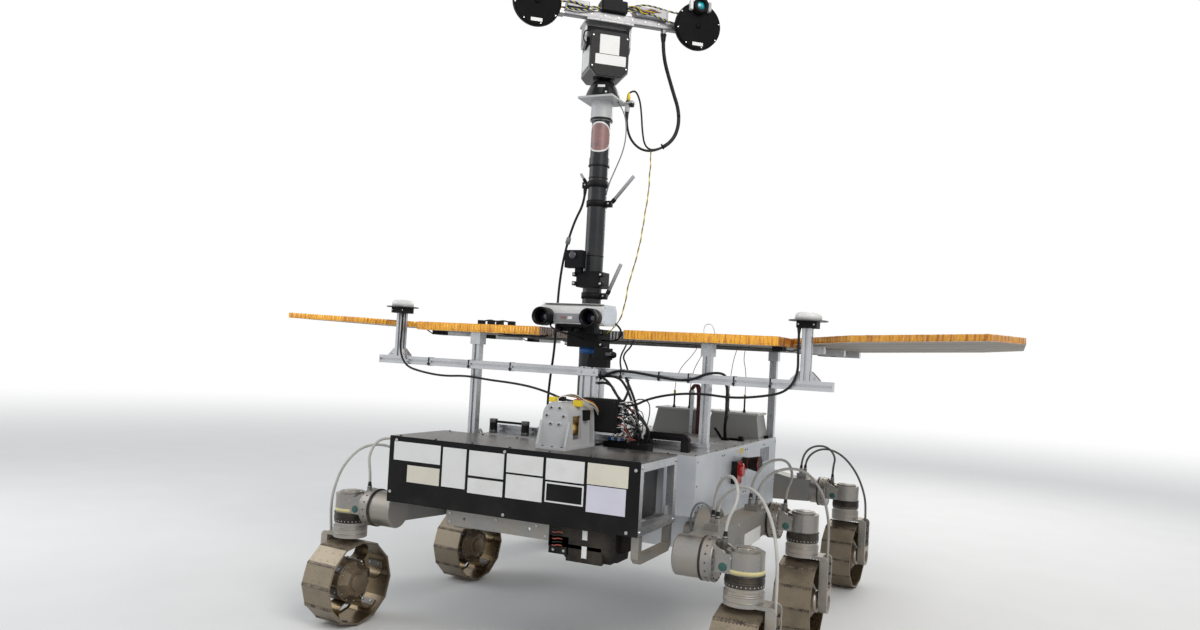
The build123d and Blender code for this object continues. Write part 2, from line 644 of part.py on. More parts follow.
# Slotted profiles: the post in front of the mast and the cross beam with its antenna posts
with BuildPart() as mast_post:
    with BuildSketch(Plane.XY.offset(BODY_TOP)):
        with Locations((MAST_POST_X, CROSS_Y - PROFILE)):
            Rectangle(2 * PROFILE, PROFILE)
            for dx in (-PROFILE / 2, PROFILE / 2):
                for dy in (-1, 1):
                    with Locations((dx, dy * (PROFILE - SLOT_DEPTH) / 2)):
                        Rectangle(SLOT_WIDTH, SLOT_DEPTH, mode=Mode.SUBTRACT)
    extrude(amount=MAST_POST_TOP - BODY_TOP)
write(mast_post.part, "mast_post")
with BuildPart() as cross_beam:
    with BuildSketch(Plane.YZ.offset(-CROSS_HALF)):
        with Locations((CROSS_Y, CROSS_Z)):
            Rectangle(PROFILE, PROFILE)
            for dz in (-1, 1):
                with Locations((0, dz * (PROFILE - SLOT_DEPTH) / 2)):
                    Rectangle(SLOT_WIDTH, SLOT_DEPTH, mode=Mode.SUBTRACT)
            for dy in (-1, 1):
                with Locations((dy * (PROFILE - SLOT_DEPTH) / 2, 0)):
                    Rectangle(SLOT_DEPTH, SLOT_WIDTH, mode=Mode.SUBTRACT)
    extrude(amount=2 * CROSS_HALF)
    with BuildSketch(Plane.XY.offset(CROSS_Z + PROFILE / 2)):
        with Locations((-ANTENNA_X, CROSS_Y), (ANTENNA_X, CROSS_Y)):
            Rectangle(PROFILE, PROFILE)
            with Locations((0, (PROFILE - SLOT_DEPTH) / 2), (0, (SLOT_DEPTH - PROFILE) / 2)):
                Rectangle(SLOT_WIDTH, SLOT_DEPTH, mode=Mode.SUBTRACT)
            with Locations(((PROFILE - SLOT_DEPTH) / 2, 0), ((SLOT_DEPTH - PROFILE) / 2, 0)):
                Rectangle(SLOT_DEPTH, SLOT_WIDTH, mode=Mode.SUBTRACT)
    extrude(amount=ANTENNA_POST_TOP - CROSS_Z - PROFILE / 2)
write(cross_beam.part, "cross_beam")

# Positioning antennas: a block, a thin ground plane and a low dome
with BuildPart() as antenna:
    with BuildSketch(Plane.XY.offset(ANTENNA_POST_TOP)):
        RectangleRounded(64, 64, 6)
    extrude(amount=22)
    with BuildSketch(Plane.XY.offset(ANTENNA_POST_TOP + 22)):
        Circle(62)
    extrude(amount=3)
    with BuildSketch(Plane.XZ):
        with BuildLine():
            Polyline(
                (0, ANTENNA_POST_TOP + 25), (42, ANTENNA_POST_TOP + 25), (42, ANTENNA_POST_TOP + 38),
                (34, ANTENNA_POST_TOP + 48), (0, ANTENNA_POST_TOP + 52), close=True,
            )
        make_face()
    revolve(axis=Axis.Z)
with BuildPart() as antenna_units:
    with Locations((-ANTENNA_X, CROSS_Y, 0), (ANTENNA_X, CROSS_Y, 0)):
        add(antenna.part)
write(antenna_units.part, "antenna_units")

# Array supports: posts with a bracket on top, and the rail that carries one of them
# x, y and foot height of each post
POSTS = [
    (412.0, -357.0, BODY_TOP + PROFILE),
    (420.0, 556.0, BODY_TOP),
    (-BODY_HALF - PROFILE / 2, CROSS_Y + PROFILE, 560.0),
    (-420.0, 556.0, BODY_TOP),
]
with BuildPart() as array_supports:
    for x, y, foot in POSTS:
        with BuildSketch(Plane.XY.offset(foot)):
            with Locations((x, y)):
                Rectangle(PROFILE, PROFILE)
                with Locations((0, (PROFILE - SLOT_DEPTH) / 2), (0, (SLOT_DEPTH - PROFILE) / 2)):
                    Rectangle(SLOT_WIDTH, SLOT_DEPTH, mode=Mode.SUBTRACT)
        extrude(amount=SUPPORT_TOP - foot)
        with BuildSketch(Plane.XY.offset(SUPPORT_TOP)):
            with Locations((x, y)):
                Rectangle(42, 42)
        extrude(amount=ARRAY_TOP - ARRAY_THICK - SUPPORT_TOP)
    with BuildSketch(Plane.YZ.offset(-430)):
        with Locations((POSTS[0][1], BODY_TOP + PROFILE / 2)):
            Rectangle(PROFILE, PROFILE)
            with Locations(((PROFILE - SLOT_DEPTH) / 2, 0), ((SLOT_DEPTH - PROFILE) / 2, 0)):
                Rectangle(SLOT_DEPTH, SLOT_WIDTH, mode=Mode.SUBTRACT)
    extrude(amount=860)
write(array_supports.part, "array_supports")

# Solar array: a centre panel notched round the mast and a wing each side
with BuildPart() as array_centre:
    with BuildSketch(Plane.XY.offset(ARRAY_TOP - ARRAY_THICK)):
        with BuildLine():
            Polyline(
                (-ARRAY_HALF, ARRAY_FRONT), (-NOTCH_HALF, ARRAY_FRONT), (-NOTCH_HALF + 30, NOTCH_BACK),
                (NOTCH_HALF - 30, NOTCH_BACK), (NOTCH_HALF, ARRAY_FRONT), (ARRAY_HALF, ARRAY_FRONT),
                (ARRAY_HALF, ARRAY_REAR - 130), (ARRAY_HALF - 150, ARRAY_REAR),
                (-ARRAY_HALF + 150, ARRAY_REAR), (-ARRAY_HALF, ARRAY_REAR - 130), close=True,
            )
        make_face()
    extrude(amount=ARRAY_THICK)
write(array_centre.part, "array_centre")
wing_root = ARRAY_HALF + 8
wing_length = 704.0
with BuildPart() as wing:
    with BuildSketch(Plane.XY.offset(-WING_THICK)):
        with BuildLine():
            Polyline(
                (0, -372), (222, -572), (612, -572), (wing_length, -272), (wing_length, 478),
                (560, ARRAY_REAR), (0, ARRAY_REAR), close=True,
            )
        make_face()
    extrude(amount=WING_THICK)
with BuildPart() as left_wing:
    with Locations(Location((wing_root, 0, ARRAY_TOP), (0, -WING_RISE[0], 0))):
        add(wing.part)
with BuildPart() as right_wing:
    with Locations(Location((wing_root, 0, ARRAY_TOP), (0, -WING_RISE[1], 0))):
        add(wing.part)
with BuildPart() as array_wings:
    add(left_wing.part)
    add(mirror(right_wing.part, about=Plane.YZ, mode=Mode.PRIVATE))
write(array_wings.part, "array_wings")
with BuildPart() as array_hinges:
    with BuildSketch(Plane.XZ):
        with BuildLine():
            Polyline(
                (640, 1034), (792, 1034), (792, 1057.5), (wing_root + 4, 1057.5),
                (wing_root + 4, ARRAY_TOP - ARRAY_THICK), (640, ARRAY_TOP - ARRAY_THICK), close=True,
            )
        make_face()
        mirror(about=Plane.YZ)
    extrude(amount=20, both=True)
hinge_ys = (-250.0, 150.0, 520.0)
with BuildPart() as placed_hinges:
    with Locations(*[(0, y, 0) for y in hinge_ys]):
        add(array_hinges.part)
write(placed_hinges.part, "array_hinges")

# Stereo camera on a clamp round the mast, with two hoods
with BuildPart() as stereo_camera:
    with BuildSketch(Plane.YZ.offset(-116)):
        with BuildLine():
            Polyline(
                (-632, 1096), (-620, 1088), (-530, 1088), (-517, 1110), (-517, 1140), (-532, 1158),
                (-600, 1158), (-632, 1146), close=True,
            )
        make_face()
    extrude(amount=242)
    with BuildSketch(Plane.XZ.offset(632)):
        with Locations((-88, 1110), (92, 1110)):
            Circle(31)
    extrude(amount=8)
    with BuildSketch(Plane.XZ.offset(640)):
        with Locations((-88, 1110), (92, 1110)):
            Circle(31)
            Circle(26, mode=Mode.SUBTRACT)
    extrude(amount=42)
write(stereo_camera.part, "stereo_camera")
with BuildPart() as mast_clamps:
    with BuildSketch(Plane.XY.offset(1012)):
        with Locations((0, MAST_Y - 6)):
            RectangleRounded(124, 104, 6)
        with Locations((0, MAST_Y)):
            Circle(MAST_RADIUS, mode=Mode.SUBTRACT)
    extrude(amount=66)
    with BuildSketch(Plane.XY.offset(1078)):
        with Locations((0, -566)):
            Rectangle(110, 110)
    extrude(amount=10)
    with BuildSketch(Plane.XY.offset(1226)):
        with Locations((0, MAST_Y)):
            RectangleRounded(94, 90, 8)
            Circle(MAST_RADIUS, mode=Mode.SUBTRACT)
    extrude(amount=56)
    with Locations((-44, MAST_Y - 60, 1322)):
        Box(66, 34, 62)
    with Locations((-30, MAST_Y - 52, 1286)):
        Box(22, 26, 22)
write(mast_clamps.part, "mast_clamps")

# Radio boxes with splayed sides, overhanging lids and short aerials
with BuildPart() as radio_box:
    with BuildSketch(Plane.XY.offset(BODY_TOP)):
        Rectangle(234, 150)
    with BuildSketch(Plane.XY.offset(BODY_TOP + 98)):
        Rectangle(200, 122)
    loft()
    with BuildSketch(Plane.XY.offset(BODY_TOP + 98)):
        Rectangle(216, 138)
    extrude(amount=7)
    with BuildSketch(Plane.XY.offset(BODY_TOP + 105)):
        with Locations((-36, -30), (36, -30)):
            Circle(3.5)
    extrude(amount=78)
with BuildPart() as radio_boxes:
    with Locations((44, 462, 0), (295, 462, 0)):
        add(radio_box.part)
write(radio_boxes.part, "radio_boxes")

# Carry handles: a flat arch on two feet at the left, a bar between two round posts at the right
with BuildPart() as handle:
    with BuildSketch(Plane.XZ):
        with BuildLine():
            Polyline(
                (-84, BODY_TOP), (-84, BODY_TOP + 46), (-70, BODY_TOP + 60), (70, BODY_TOP + 60),
                (84, BODY_TOP + 46), (84, BODY_TOP), (56, BODY_TOP), (56, BODY_TOP + 38),
                (-56, BODY_TOP + 38), (-56, BODY_TOP), close=True,
            )
        make_face()
    extrude(amount=12, both=True)
with BuildPart() as post_handle:
    with BuildSketch(Plane.XY.offset(BODY_TOP)):
        with Locations((-70, 0), (70, 0)):
            Circle(15)
    extrude(amount=54)
    with BuildSketch(Plane.XY.offset(BODY_TOP + 40)):
        Rectangle(140, 14)
    extrude(amount=8)
with BuildPart() as carry_handles:
    with Locations((294, -408, 0)):
        add(handle.part)
    with Locations((-344, -408, 0)):
        add(post_handle.part)
write(carry_handles.part, "carry_handles")

# Emergency buttons on the left side
with BuildPart() as emergency_buttons:
    with BuildSketch(Plane.YZ.offset(BODY_HALF)):
        with Locations((58, 600)):
            Circle(22)
        with Locations((-62, 575)):
            Rectangle(56, 84)
    extrude(amount=26)
    with BuildSketch(Plane.YZ.offset(BODY_HALF + 26)):
        with Locations((58, 600)):
            Circle(22)
    with BuildSketch(Plane.YZ.offset(BODY_HALF + 72)):
        with Locations((58, 600)):
            Circle(32)
    loft()
    with BuildSketch(Plane.YZ.offset(BODY_HALF + 26)):
        with Locations((-62, 585)):
            Circle(20)
    extrude(amount=16)
write(emergency_buttons.part, "emergency_buttons")

# Actuator on the front box: a ribbed plate, a rear plate, a base, a cover with a window and the motor
with BuildPart() as actuator_plate:
    with BuildSketch(Plane.XZ):
        with BuildLine():
            Polyline(
                (ACTUATOR_X - ACTUATOR_TOP_HALF, ACTUATOR_Z), (ACTUATOR_X - ACTUATOR_HALF, BOX_TOP),
                (ACTUATOR_X + ACTUATOR_HALF, BOX_TOP), (ACTUATOR_X + ACTUATOR_TOP_HALF, ACTUATOR_Z),
            )
            RadiusArc(
                (ACTUATOR_X + ACTUATOR_TOP_HALF, ACTUATOR_Z), (ACTUATOR_X - ACTUATOR_TOP_HALF, ACTUATOR_Z),
                -ACTUATOR_TOP_HALF,
            )
        make_face()
    extrude(amount=ACTUATOR_PLATE)
with BuildPart() as actuator_bracket:
    with Locations((0, ACTUATOR_FRONT + ACTUATOR_PLATE, 0), (0, ACTUATOR_BACK, 0)):
        add(actuator_plate.part)
    with BuildSketch(Plane.XY.offset(BOX_TOP)):
        with Locations((ACTUATOR_X, (ACTUATOR_FRONT - ACTUATOR_RIB + ACTUATOR_BACK) / 2)):
            Rectangle(2 * ACTUATOR_HALF, ACTUATOR_BACK - ACTUATOR_FRONT + ACTUATOR_RIB)
    extrude(amount=ACTUATOR_PLATE)
    for rib_x in (ACTUATOR_X - ACTUATOR_HALF, ACTUATOR_X + ACTUATOR_HALF - ACTUATOR_PLATE):
        with BuildSketch(Plane.YZ.offset(rib_x)):
            with BuildLine():
                Polyline(
                    (ACTUATOR_FRONT, BOX_TOP), (ACTUATOR_FRONT - ACTUATOR_RIB, BOX_TOP),
                    (ACTUATOR_FRONT - ACTUATOR_RIB, BOX_TOP + 14), (ACTUATOR_FRONT, ACTUATOR_Z - 16),
                    close=True,
                )
            make_face()
        extrude(amount=ACTUATOR_PLATE)
    with BuildSketch(Plane.XZ.offset(-ACTUATOR_FRONT - ACTUATOR_PLATE)):
        with BuildLine():
            Polyline(
                (ACTUATOR_X - 44, ACTUATOR_Z), (ACTUATOR_X - 52, BOX_TOP), (ACTUATOR_X + 52, BOX_TOP),
                (ACTUATOR_X + 44, ACTUATOR_Z),
            )
            RadiusArc((ACTUATOR_X + 44, ACTUATOR_Z), (ACTUATOR_X - 44, ACTUATOR_Z), -44)
        make_face()
        with Locations((ACTUATOR_X, ACTUATOR_Z)):
            Circle(MOTOR_RADIUS + COVER_GAP, mode=Mode.SUBTRACT)
        with Locations((ACTUATOR_X, (BOX_TOP + ACTUATOR_PLATE + ACTUATOR_Z) / 2)):
            Rectangle(
                2 * (MOTOR_RADIUS + COVER_GAP), ACTUATOR_Z - BOX_TOP - ACTUATOR_PLATE, mode=Mode.SUBTRACT,
            )
    extrude(amount=-COVER_LENGTH)
    with Locations((ACTUATOR_X + 50, ACTUATOR_FRONT + 66, ACTUATOR_Z - 38)):
        Box(40, 62, 76, mode=Mode.SUBTRACT)
write(actuator_bracket.part, "actuator_bracket")
motor_length = ACTUATOR_BACK - ACTUATOR_FRONT - 2 * ACTUATOR_PLATE
with BuildPart() as actuator_motor:
    with BuildSketch(Plane.XZ.offset(ACTUATOR_PLATE - ACTUATOR_BACK)):
        with Locations((ACTUATOR_X, ACTUATOR_Z)):
            Circle(MOTOR_RADIUS)
    extrude(amount=motor_length)
write(actuator_motor.part, "actuator_motor")
with BuildPart() as mast_electronics:
    with Locations(ELECTRONICS):
        Box(*ELECTRONICS_SIZE)
write(mast_electronics.part, "mast_electronics")

# Pan housing: a block with a round top, chamfered below, and its tilt pins
with BuildPart() as pan_housing:
    with BuildSketch(Plane.YZ.offset(-PAN_HALF)):
        with Locations((0, (PAN_BOTTOM + TILT_Z) / 2)):
            Rectangle(2 * PAN_BODY, TILT_Z - PAN_BOTTOM)
        with Locations((0, TILT_Z)):
            Circle(PAN_BODY)
    extrude(amount=2 * PAN_HALF)
    chamfer(pan_housing.edges().filter_by(Axis.Y).group_by(Axis.Z)[0], 20)
    with BuildSketch(Plane.YZ.offset(-EAR_OUT)):
        with Locations((0, TILT_Z)):
            Circle(12)
    extrude(amount=2 * EAR_OUT)

# Tilt frame: two ears, a plate over the housing and the tube that carries the cameras
with BuildPart() as head_frame:
    with BuildSketch(Plane.YZ.offset(EAR_IN)):
        with Locations((0, (TILT_Z + FRAME_BOTTOM) / 2)):
            Rectangle(52, FRAME_BOTTOM - TILT_Z)
        with Locations((0, TILT_Z)):
            Circle(26)
            Circle(12 + JOINT_GAP, mode=Mode.SUBTRACT)
    extrude(amount=EAR_OUT - EAR_IN)
    with BuildSketch(Plane.YZ.offset(-EAR_OUT)):
        with Locations((0, (TILT_Z + FRAME_BOTTOM) / 2)):
            Rectangle(52, FRAME_BOTTOM - TILT_Z)
        with Locations((0, TILT_Z)):
            Circle(26)
            Circle(12 + JOINT_GAP, mode=Mode.SUBTRACT)
    extrude(amount=EAR_OUT - EAR_IN)
    with BuildSketch(Plane.XY.offset(FRAME_BOTTOM)):
        Rectangle(2 * EAR_OUT, 110)
    extrude(amount=FRAME_TOP - FRAME_BOTTOM)
    with BuildSketch(Plane.YZ.offset(TUBE_X[0])):
        with Locations((TUBE_Y, FRAME_TOP + TUBE / 2)):
            RectangleRounded(TUBE, TUBE, 4)
    extrude(amount=TUBE_X[1] - TUBE_X[0])
    with BuildSketch(Plane.XY.offset(FRAME_TOP - HEAD_GLAND_DROP)):
        with Locations((HEAD_GLAND_X, TUBE_Y)):
            RegularPolygon(11, 6)
    extrude(amount=HEAD_GLAND_DROP)

# Filter discs and cameras at the ends of the tube
with BuildPart() as filter_discs:
    with BuildSketch(Plane.XZ.offset(-DISC_FRONT)):
        with Locations(*[(x, DISC_Z) for x in DISC_X]):
            Circle(DISC_RADIUS)
    extrude(amount=-DISC_THICK)
with BuildPart() as head_cameras:
    for x in DISC_X:
        with Locations((x, DISC_FRONT + DISC_THICK + 37, 2212)):
            Box(64, 74, 110)
        with BuildSketch(Plane.XZ.offset(-DISC_FRONT)):
            with Locations((x, LENS_Z)):
                Circle(28)
                Circle(17, mode=Mode.SUBTRACT)
        extrude(amount=22)
    with Locations((10, TUBE_Y, FRAME_TOP + TUBE + 21)):
        Box(96, 66, 42)
    with Locations((150, TUBE_Y, FRAME_TOP + TUBE + 17)):
        Box(120, 60, 34)
    with Locations((-120, TUBE_Y, FRAME_TOP + TUBE + 12)):
        Box(80, 46, 24)

head_place = Location((0, MAST_Y, 0), (0, 0, PAN_REST))
HEAD_PIECES = [
    ("pan_housing", pan_housing),
    ("head_frame", head_frame),
    ("filter_discs", filter_discs),
    ("head_cameras", head_cameras),
]
for name, piece in HEAD_PIECES:
    with BuildPart() as placed:
        with Locations(head_place):
            add(piece.part)
    write(placed.part, name)

# Terminals on the bogie beams and sockets on the steering arms, which the conduits run between
with BuildPart() as cable_terminals:
    for name, side, y, steer in CORNERS:
        rear = y > 0
        out, along = REAR_TERMINAL if rear else SIDE_TERMINAL
        routes = (REAR_STEERING_ROUTE, REAR_DRIVE_ROUTE) if rear else (SIDE_STEERING_ROUTE, SIDE_DRIVE_ROUTE)
        with BuildSketch(Plane.XY.offset(BEAM_TOP)):
            with Locations((side * (TRACK_HALF + out), y + lean(y) * along)):
                Rectangle(TERMINAL[0], TERMINAL[1])
        extrude(amount=TERMINAL[2])
        with BuildSketch(Plane.XY.offset(TERMINAL_TOP)):
            for table in routes:
                with Locations(conduit_route(table, side, y, steer)[0][:2]):
                    RegularPolygon(GLAND_RADIUS, 6)
        extrude(amount=GLAND_TOP - TERMINAL_TOP)
        with BuildSketch(Plane.XY.offset(arm_top)):
            with Locations((side * (TRACK_HALF + SOCKET[0]), y + lean(y) * SOCKET[1])):
                RegularPolygon(GLAND_RADIUS, 6)
        extrude(amount=SOCKET_TOP - arm_top)
write(cable_terminals.part, "cable_terminals")

# Conduits of the steering and drive motors, and the leads of the masthead, the mast and the cross beam
steering_cables = []
drive_cables = []
for name, side, y, steer in CORNERS:
    steering_table = REAR_STEERING_ROUTE if y > 0 else SIDE_STEERING_ROUTE
    drive_table = REAR_DRIVE_ROUTE if y > 0 else SIDE_DRIVE_ROUTE
    steering_cables.append(cable(conduit_route(steering_table, side, y, steer), CONDUIT))
    drive_cables.append(cable(conduit_route(drive_table, side, y, steer), CONDUIT))
write_cables(steering_cables, "steering_conduits")
write_cables(drive_cables, "drive_conduits")
write_cables([cable(HEAD_ROUTE, HEAD_CABLE)], "head_cable")
write_cables([cable(MAST_ROUTE, MAST_CABLE)], "mast_cable")
write_cables([cable(LEFT_BEAM_ROUTE, BEAM_CABLE), cable(RIGHT_BEAM_ROUTE, BEAM_CABLE)], "beam_cables")

# Stick antennas on clamps round the mast
# side, height of the clamp, foot and tip of the rod as distance from the mast's axis and height, radius
STICKS = [
    (1, 1528, (52, 1524), (139, 1625), 6.5),
    (1, 1198, (56, 1194), (108, 1313), 6.5),
    (-1, 1598, (42, 1598), (71, 1640), 5.0),
]
with BuildPart() as stick_antennas:
    for side, z, foot, tip, radius in STICKS:
        with BuildSketch(Plane.XY.offset(z - 12)):
            with Locations((0, MAST_Y)):
                Circle(MAST_RADIUS + 4)
                Circle(MAST_RADIUS, mode=Mode.SUBTRACT)
            with Locations((side * (MAST_RADIUS + 14), MAST_Y)):
                Rectangle(24, 18)
        extrude(amount=22)
        start = Vector(side * foot[0], MAST_Y, foot[1])
        reach = Vector(side * tip[0], MAST_Y, tip[1]) - start
        with BuildSketch(Plane(origin=start, z_dir=reach)):
            Circle(radius)
        extrude(amount=reach.length)
write(stick_antennas.part, "stick_antennas")
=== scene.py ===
"""The looks of a planetary rover test model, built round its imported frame.

Sizes are in millimetres, and each piece's mesh is made in metres. The studio and the finishes are in
metres. +Z is up, the front faces -Y and the rover's left side is +X, as in the frame.
"""

from dataclasses import dataclass, field, replace
from enum import Enum
import json
import logging
import math
import random

import bmesh
import bpy
from mathutils import Matrix, Vector

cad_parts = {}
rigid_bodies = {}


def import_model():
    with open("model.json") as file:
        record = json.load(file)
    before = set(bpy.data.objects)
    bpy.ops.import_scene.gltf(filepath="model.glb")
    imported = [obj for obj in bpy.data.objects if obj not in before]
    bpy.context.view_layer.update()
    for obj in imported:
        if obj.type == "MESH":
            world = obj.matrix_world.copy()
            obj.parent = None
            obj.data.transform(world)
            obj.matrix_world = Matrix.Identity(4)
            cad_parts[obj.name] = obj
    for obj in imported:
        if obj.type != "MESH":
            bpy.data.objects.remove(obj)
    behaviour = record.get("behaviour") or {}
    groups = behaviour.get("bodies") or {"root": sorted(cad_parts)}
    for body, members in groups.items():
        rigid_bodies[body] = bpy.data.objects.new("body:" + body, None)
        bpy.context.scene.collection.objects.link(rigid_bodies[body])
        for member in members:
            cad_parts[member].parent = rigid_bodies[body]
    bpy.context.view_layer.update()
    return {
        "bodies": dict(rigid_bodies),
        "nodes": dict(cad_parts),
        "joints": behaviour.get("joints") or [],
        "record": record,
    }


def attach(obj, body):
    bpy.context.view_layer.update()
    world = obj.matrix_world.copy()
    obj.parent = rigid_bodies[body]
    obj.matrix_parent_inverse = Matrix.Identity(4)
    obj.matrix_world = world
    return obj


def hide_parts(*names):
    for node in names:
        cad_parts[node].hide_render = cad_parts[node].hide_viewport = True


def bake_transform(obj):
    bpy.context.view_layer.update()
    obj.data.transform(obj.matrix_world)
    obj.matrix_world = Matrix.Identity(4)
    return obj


Colour = tuple[float, float, float]
Point = tuple[float, float, float]
Pair = tuple[float, float]

LOG = logging.getLogger("rover")
DUST_COLOUR: Colour = (0.5, 0.4, 0.29)
# heights in metres between which the dust thins out
DUST_BAND = (0.05, 0.75)
MM = 0.001
WHITE_LIGHT = (1.0, 1.0, 1.0, 1.0)


class Grain(Enum):
    """The small relief that a finish carries."""

    SMOOTH = "smooth"
    CAST = "cast"
    BRUSHED = "brushed"
    CRUMPLED = "crumpled"
    BRAIDED = "braided"


class Socket:
    """A shader socket that takes part in Python arithmetic."""

    def __init__(self, graph: "Graph", link: bpy.types.NodeSocket) -> None:
        """Keep the socket and the graph that it belongs to.

        Args:
            graph: the graph that new Math nodes go into.
            link: the output socket of a node.
        """
        self.graph = graph
        self.link = link

    def _math(self, operation: str, first: object, second: object) -> "Socket":
        """Return the result of a Math node on two values or sockets."""
        node = self.graph.node("ShaderNodeMath", {"operation": operation}, {0: first, 1: second})
        return Socket(self.graph, node.outputs[0])

    def __add__(self, other: object) -> "Socket":
        """Return self + other."""
        return self._math("ADD", self, other)

    def __radd__(self, other: object) -> "Socket":
        """Return other + self."""
        return self._math("ADD", other, self)

    def __sub__(self, other: object) -> "Socket":
        """Return self - other."""
        return self._math("SUBTRACT", self, other)

    def __rsub__(self, other: object) -> "Socket":
        """Return other - self."""
        return self._math("SUBTRACT", other, self)

    def __mul__(self, other: object) -> "Socket":
        """Return self * other."""
        return self._math("MULTIPLY", self, other)

    def __rmul__(self, other: object) -> "Socket":
        """Return other * self."""
        return self._math("MULTIPLY", other, self)

    def above(self, edge: float) -> "Socket":
        """Return 1 where the socket is above an edge and 0 elsewhere."""
        return self._math("GREATER_THAN", self, edge)

    def wrapped(self, period: float) -> "Socket":
        """Return the socket's distance past the last whole multiple of a period."""
        return self._math("FLOORED_MODULO", self, period)

    def either(self, other: object) -> "Socket":
        """Return the larger of the socket and another mask."""
        return self._math("MAXIMUM", self, other)


class Graph:
    """The node tree of one material or world."""

    def __init__(self, owner: bpy.types.Material | bpy.types.World) -> None:
        """Start an empty tree.

        Args:
            owner: the material or world that the tree belongs to.
        """
        self.owner = owner
        owner.use_nodes = True
        self.tree = owner.node_tree
        self.tree.nodes.clear()

    def node(self, kind: str, settings: dict[str, object], values: dict) -> bpy.types.Node:
        """Add a node.

        Args:
            kind: the node's type.
            settings: attributes that are set first, such as a Math node's operation.
            values: numbers, colours, sockets or wrapped sockets for the inputs, by name or index.

        Returns:
            The new node.
        """
        node = self.tree.nodes.new(kind)
        for key, value in settings.items():
            setattr(node, key, value)
        for key, value in values.items():
            target = node.inputs[key]
            if isinstance(value, Socket):
                self.tree.links.new(value.link, target)
            elif isinstance(value, bpy.types.NodeSocket):
                self.tree.links.new(value, target)
            else:
                target.default_value = value
        return node

    def place(self) -> Socket:
        """Return the place on the rover, in metres."""
        return Socket(self, self.node("ShaderNodeTexCoord", {}, {}).outputs["Object"])

    def axes(self, vector: Socket) -> tuple[Socket, Socket, Socket]:
        """Return a vector's three parts."""
        parts = self.node("ShaderNodeSeparateXYZ", {}, {0: vector}).outputs
        return Socket(self, parts[0]), Socket(self, parts[1]), Socket(self, parts[2])

    def facing(self) -> tuple[Socket, Socket, Socket]:
        """Return the three parts of the surface's normal."""
        return self.axes(Socket(self, self.node("ShaderNodeNewGeometry", {}, {}).outputs["Normal"]))

    def seen(self) -> Socket:
        """Return what tells seen surfaces from lit ones.

        Returns:
            1 for what the camera sees, also in metal and through glass, and 0 for light.
        """
        path = self.node("ShaderNodeLightPath", {}, {}).outputs
        camera, glossy, through = (
            Socket(self, path[ray]) for ray in ("Is Camera Ray", "Is Glossy Ray", "Is Transmission Ray")
        )
        return camera.either(glossy).either(through)

    def noise(self, scale: float, detail: float = 4.0, stretch: Point = (1.0, 1.0, 1.0)) -> Socket:
        """Return a noise value between 0 and 1.

        Args:
            scale: features per metre.
            detail: how many finer layers are added.
            stretch: factors on the three axes, for streaks.

        Returns:
            The noise.
        """
        place = self.place()
        if stretch != (1.0, 1.0, 1.0):
            moved = self.node("ShaderNodeVectorMath", {"operation": "MULTIPLY"}, {0: place, 1: stretch})
            place = Socket(self, moved.outputs[0])
        node = self.node("ShaderNodeTexNoise", {}, {"Vector": place, "Scale": scale, "Detail": detail})
        return Socket(self, node.outputs["Fac"])

    def cells(self, scale: float) -> Socket:
        """Return the distance to the nearest of many scattered points."""
        node = self.node("ShaderNodeTexVoronoi", {"feature": "F1"}, {"Vector": self.place(), "Scale": scale})
        return Socket(self, node.outputs["Distance"])

    def ramp(self, value: Socket, low: float, high: float) -> Socket:
        """Return 0 below an edge, 1 above another and a smooth value between them.

        Args:
            value: the value that is compared.
            low: the lower edge.
            high: the upper edge.

        Returns:
            The smooth value.
        """
        node = self.node("ShaderNodeMapRange", {"interpolation_type": "SMOOTHSTEP"},
                         {"Value": value, "From Min": low, "From Max": high})
        return Socket(self, node.outputs[0])

    def mix(self, factor: object, first: Colour | Socket, second: Colour | Socket) -> Socket:
        """Return a colour between two colours."""
        values = {0: factor, 6: self._colour(first), 7: self._colour(second)}
        return Socket(self, self.node("ShaderNodeMix", {"data_type": "RGBA"}, values).outputs[2])

    @staticmethod
    def _colour(value: Colour | Socket) -> object:
        """Return a colour with its alpha, and leave a socket as it is."""
        return value if isinstance(value, Socket) else (*value, 1.0)

    def shade(self, inputs: dict, fixed: dict, relief: Socket, depth: float) -> bpy.types.Material:
        """Finish the material with a Principled shader.

        Args:
            inputs: values or sockets that may change over the surface.
            fixed: values that are the same all over it.
            relief: the height of the small relief.
            depth: the relief's depth in metres.

        Returns:
            The material.
        """
        shader = self.node("ShaderNodeBsdfPrincipled", {}, {**inputs, **fixed})
        bump = self.node("ShaderNodeBump", {}, {"Height": relief, "Distance": depth, "Strength": 1.0})
        self.tree.links.new(bump.outputs[0], shader.inputs["Normal"])
        self.node("ShaderNodeOutputMaterial", {}, {"Surface": shader.outputs[0]})
        return self.owner


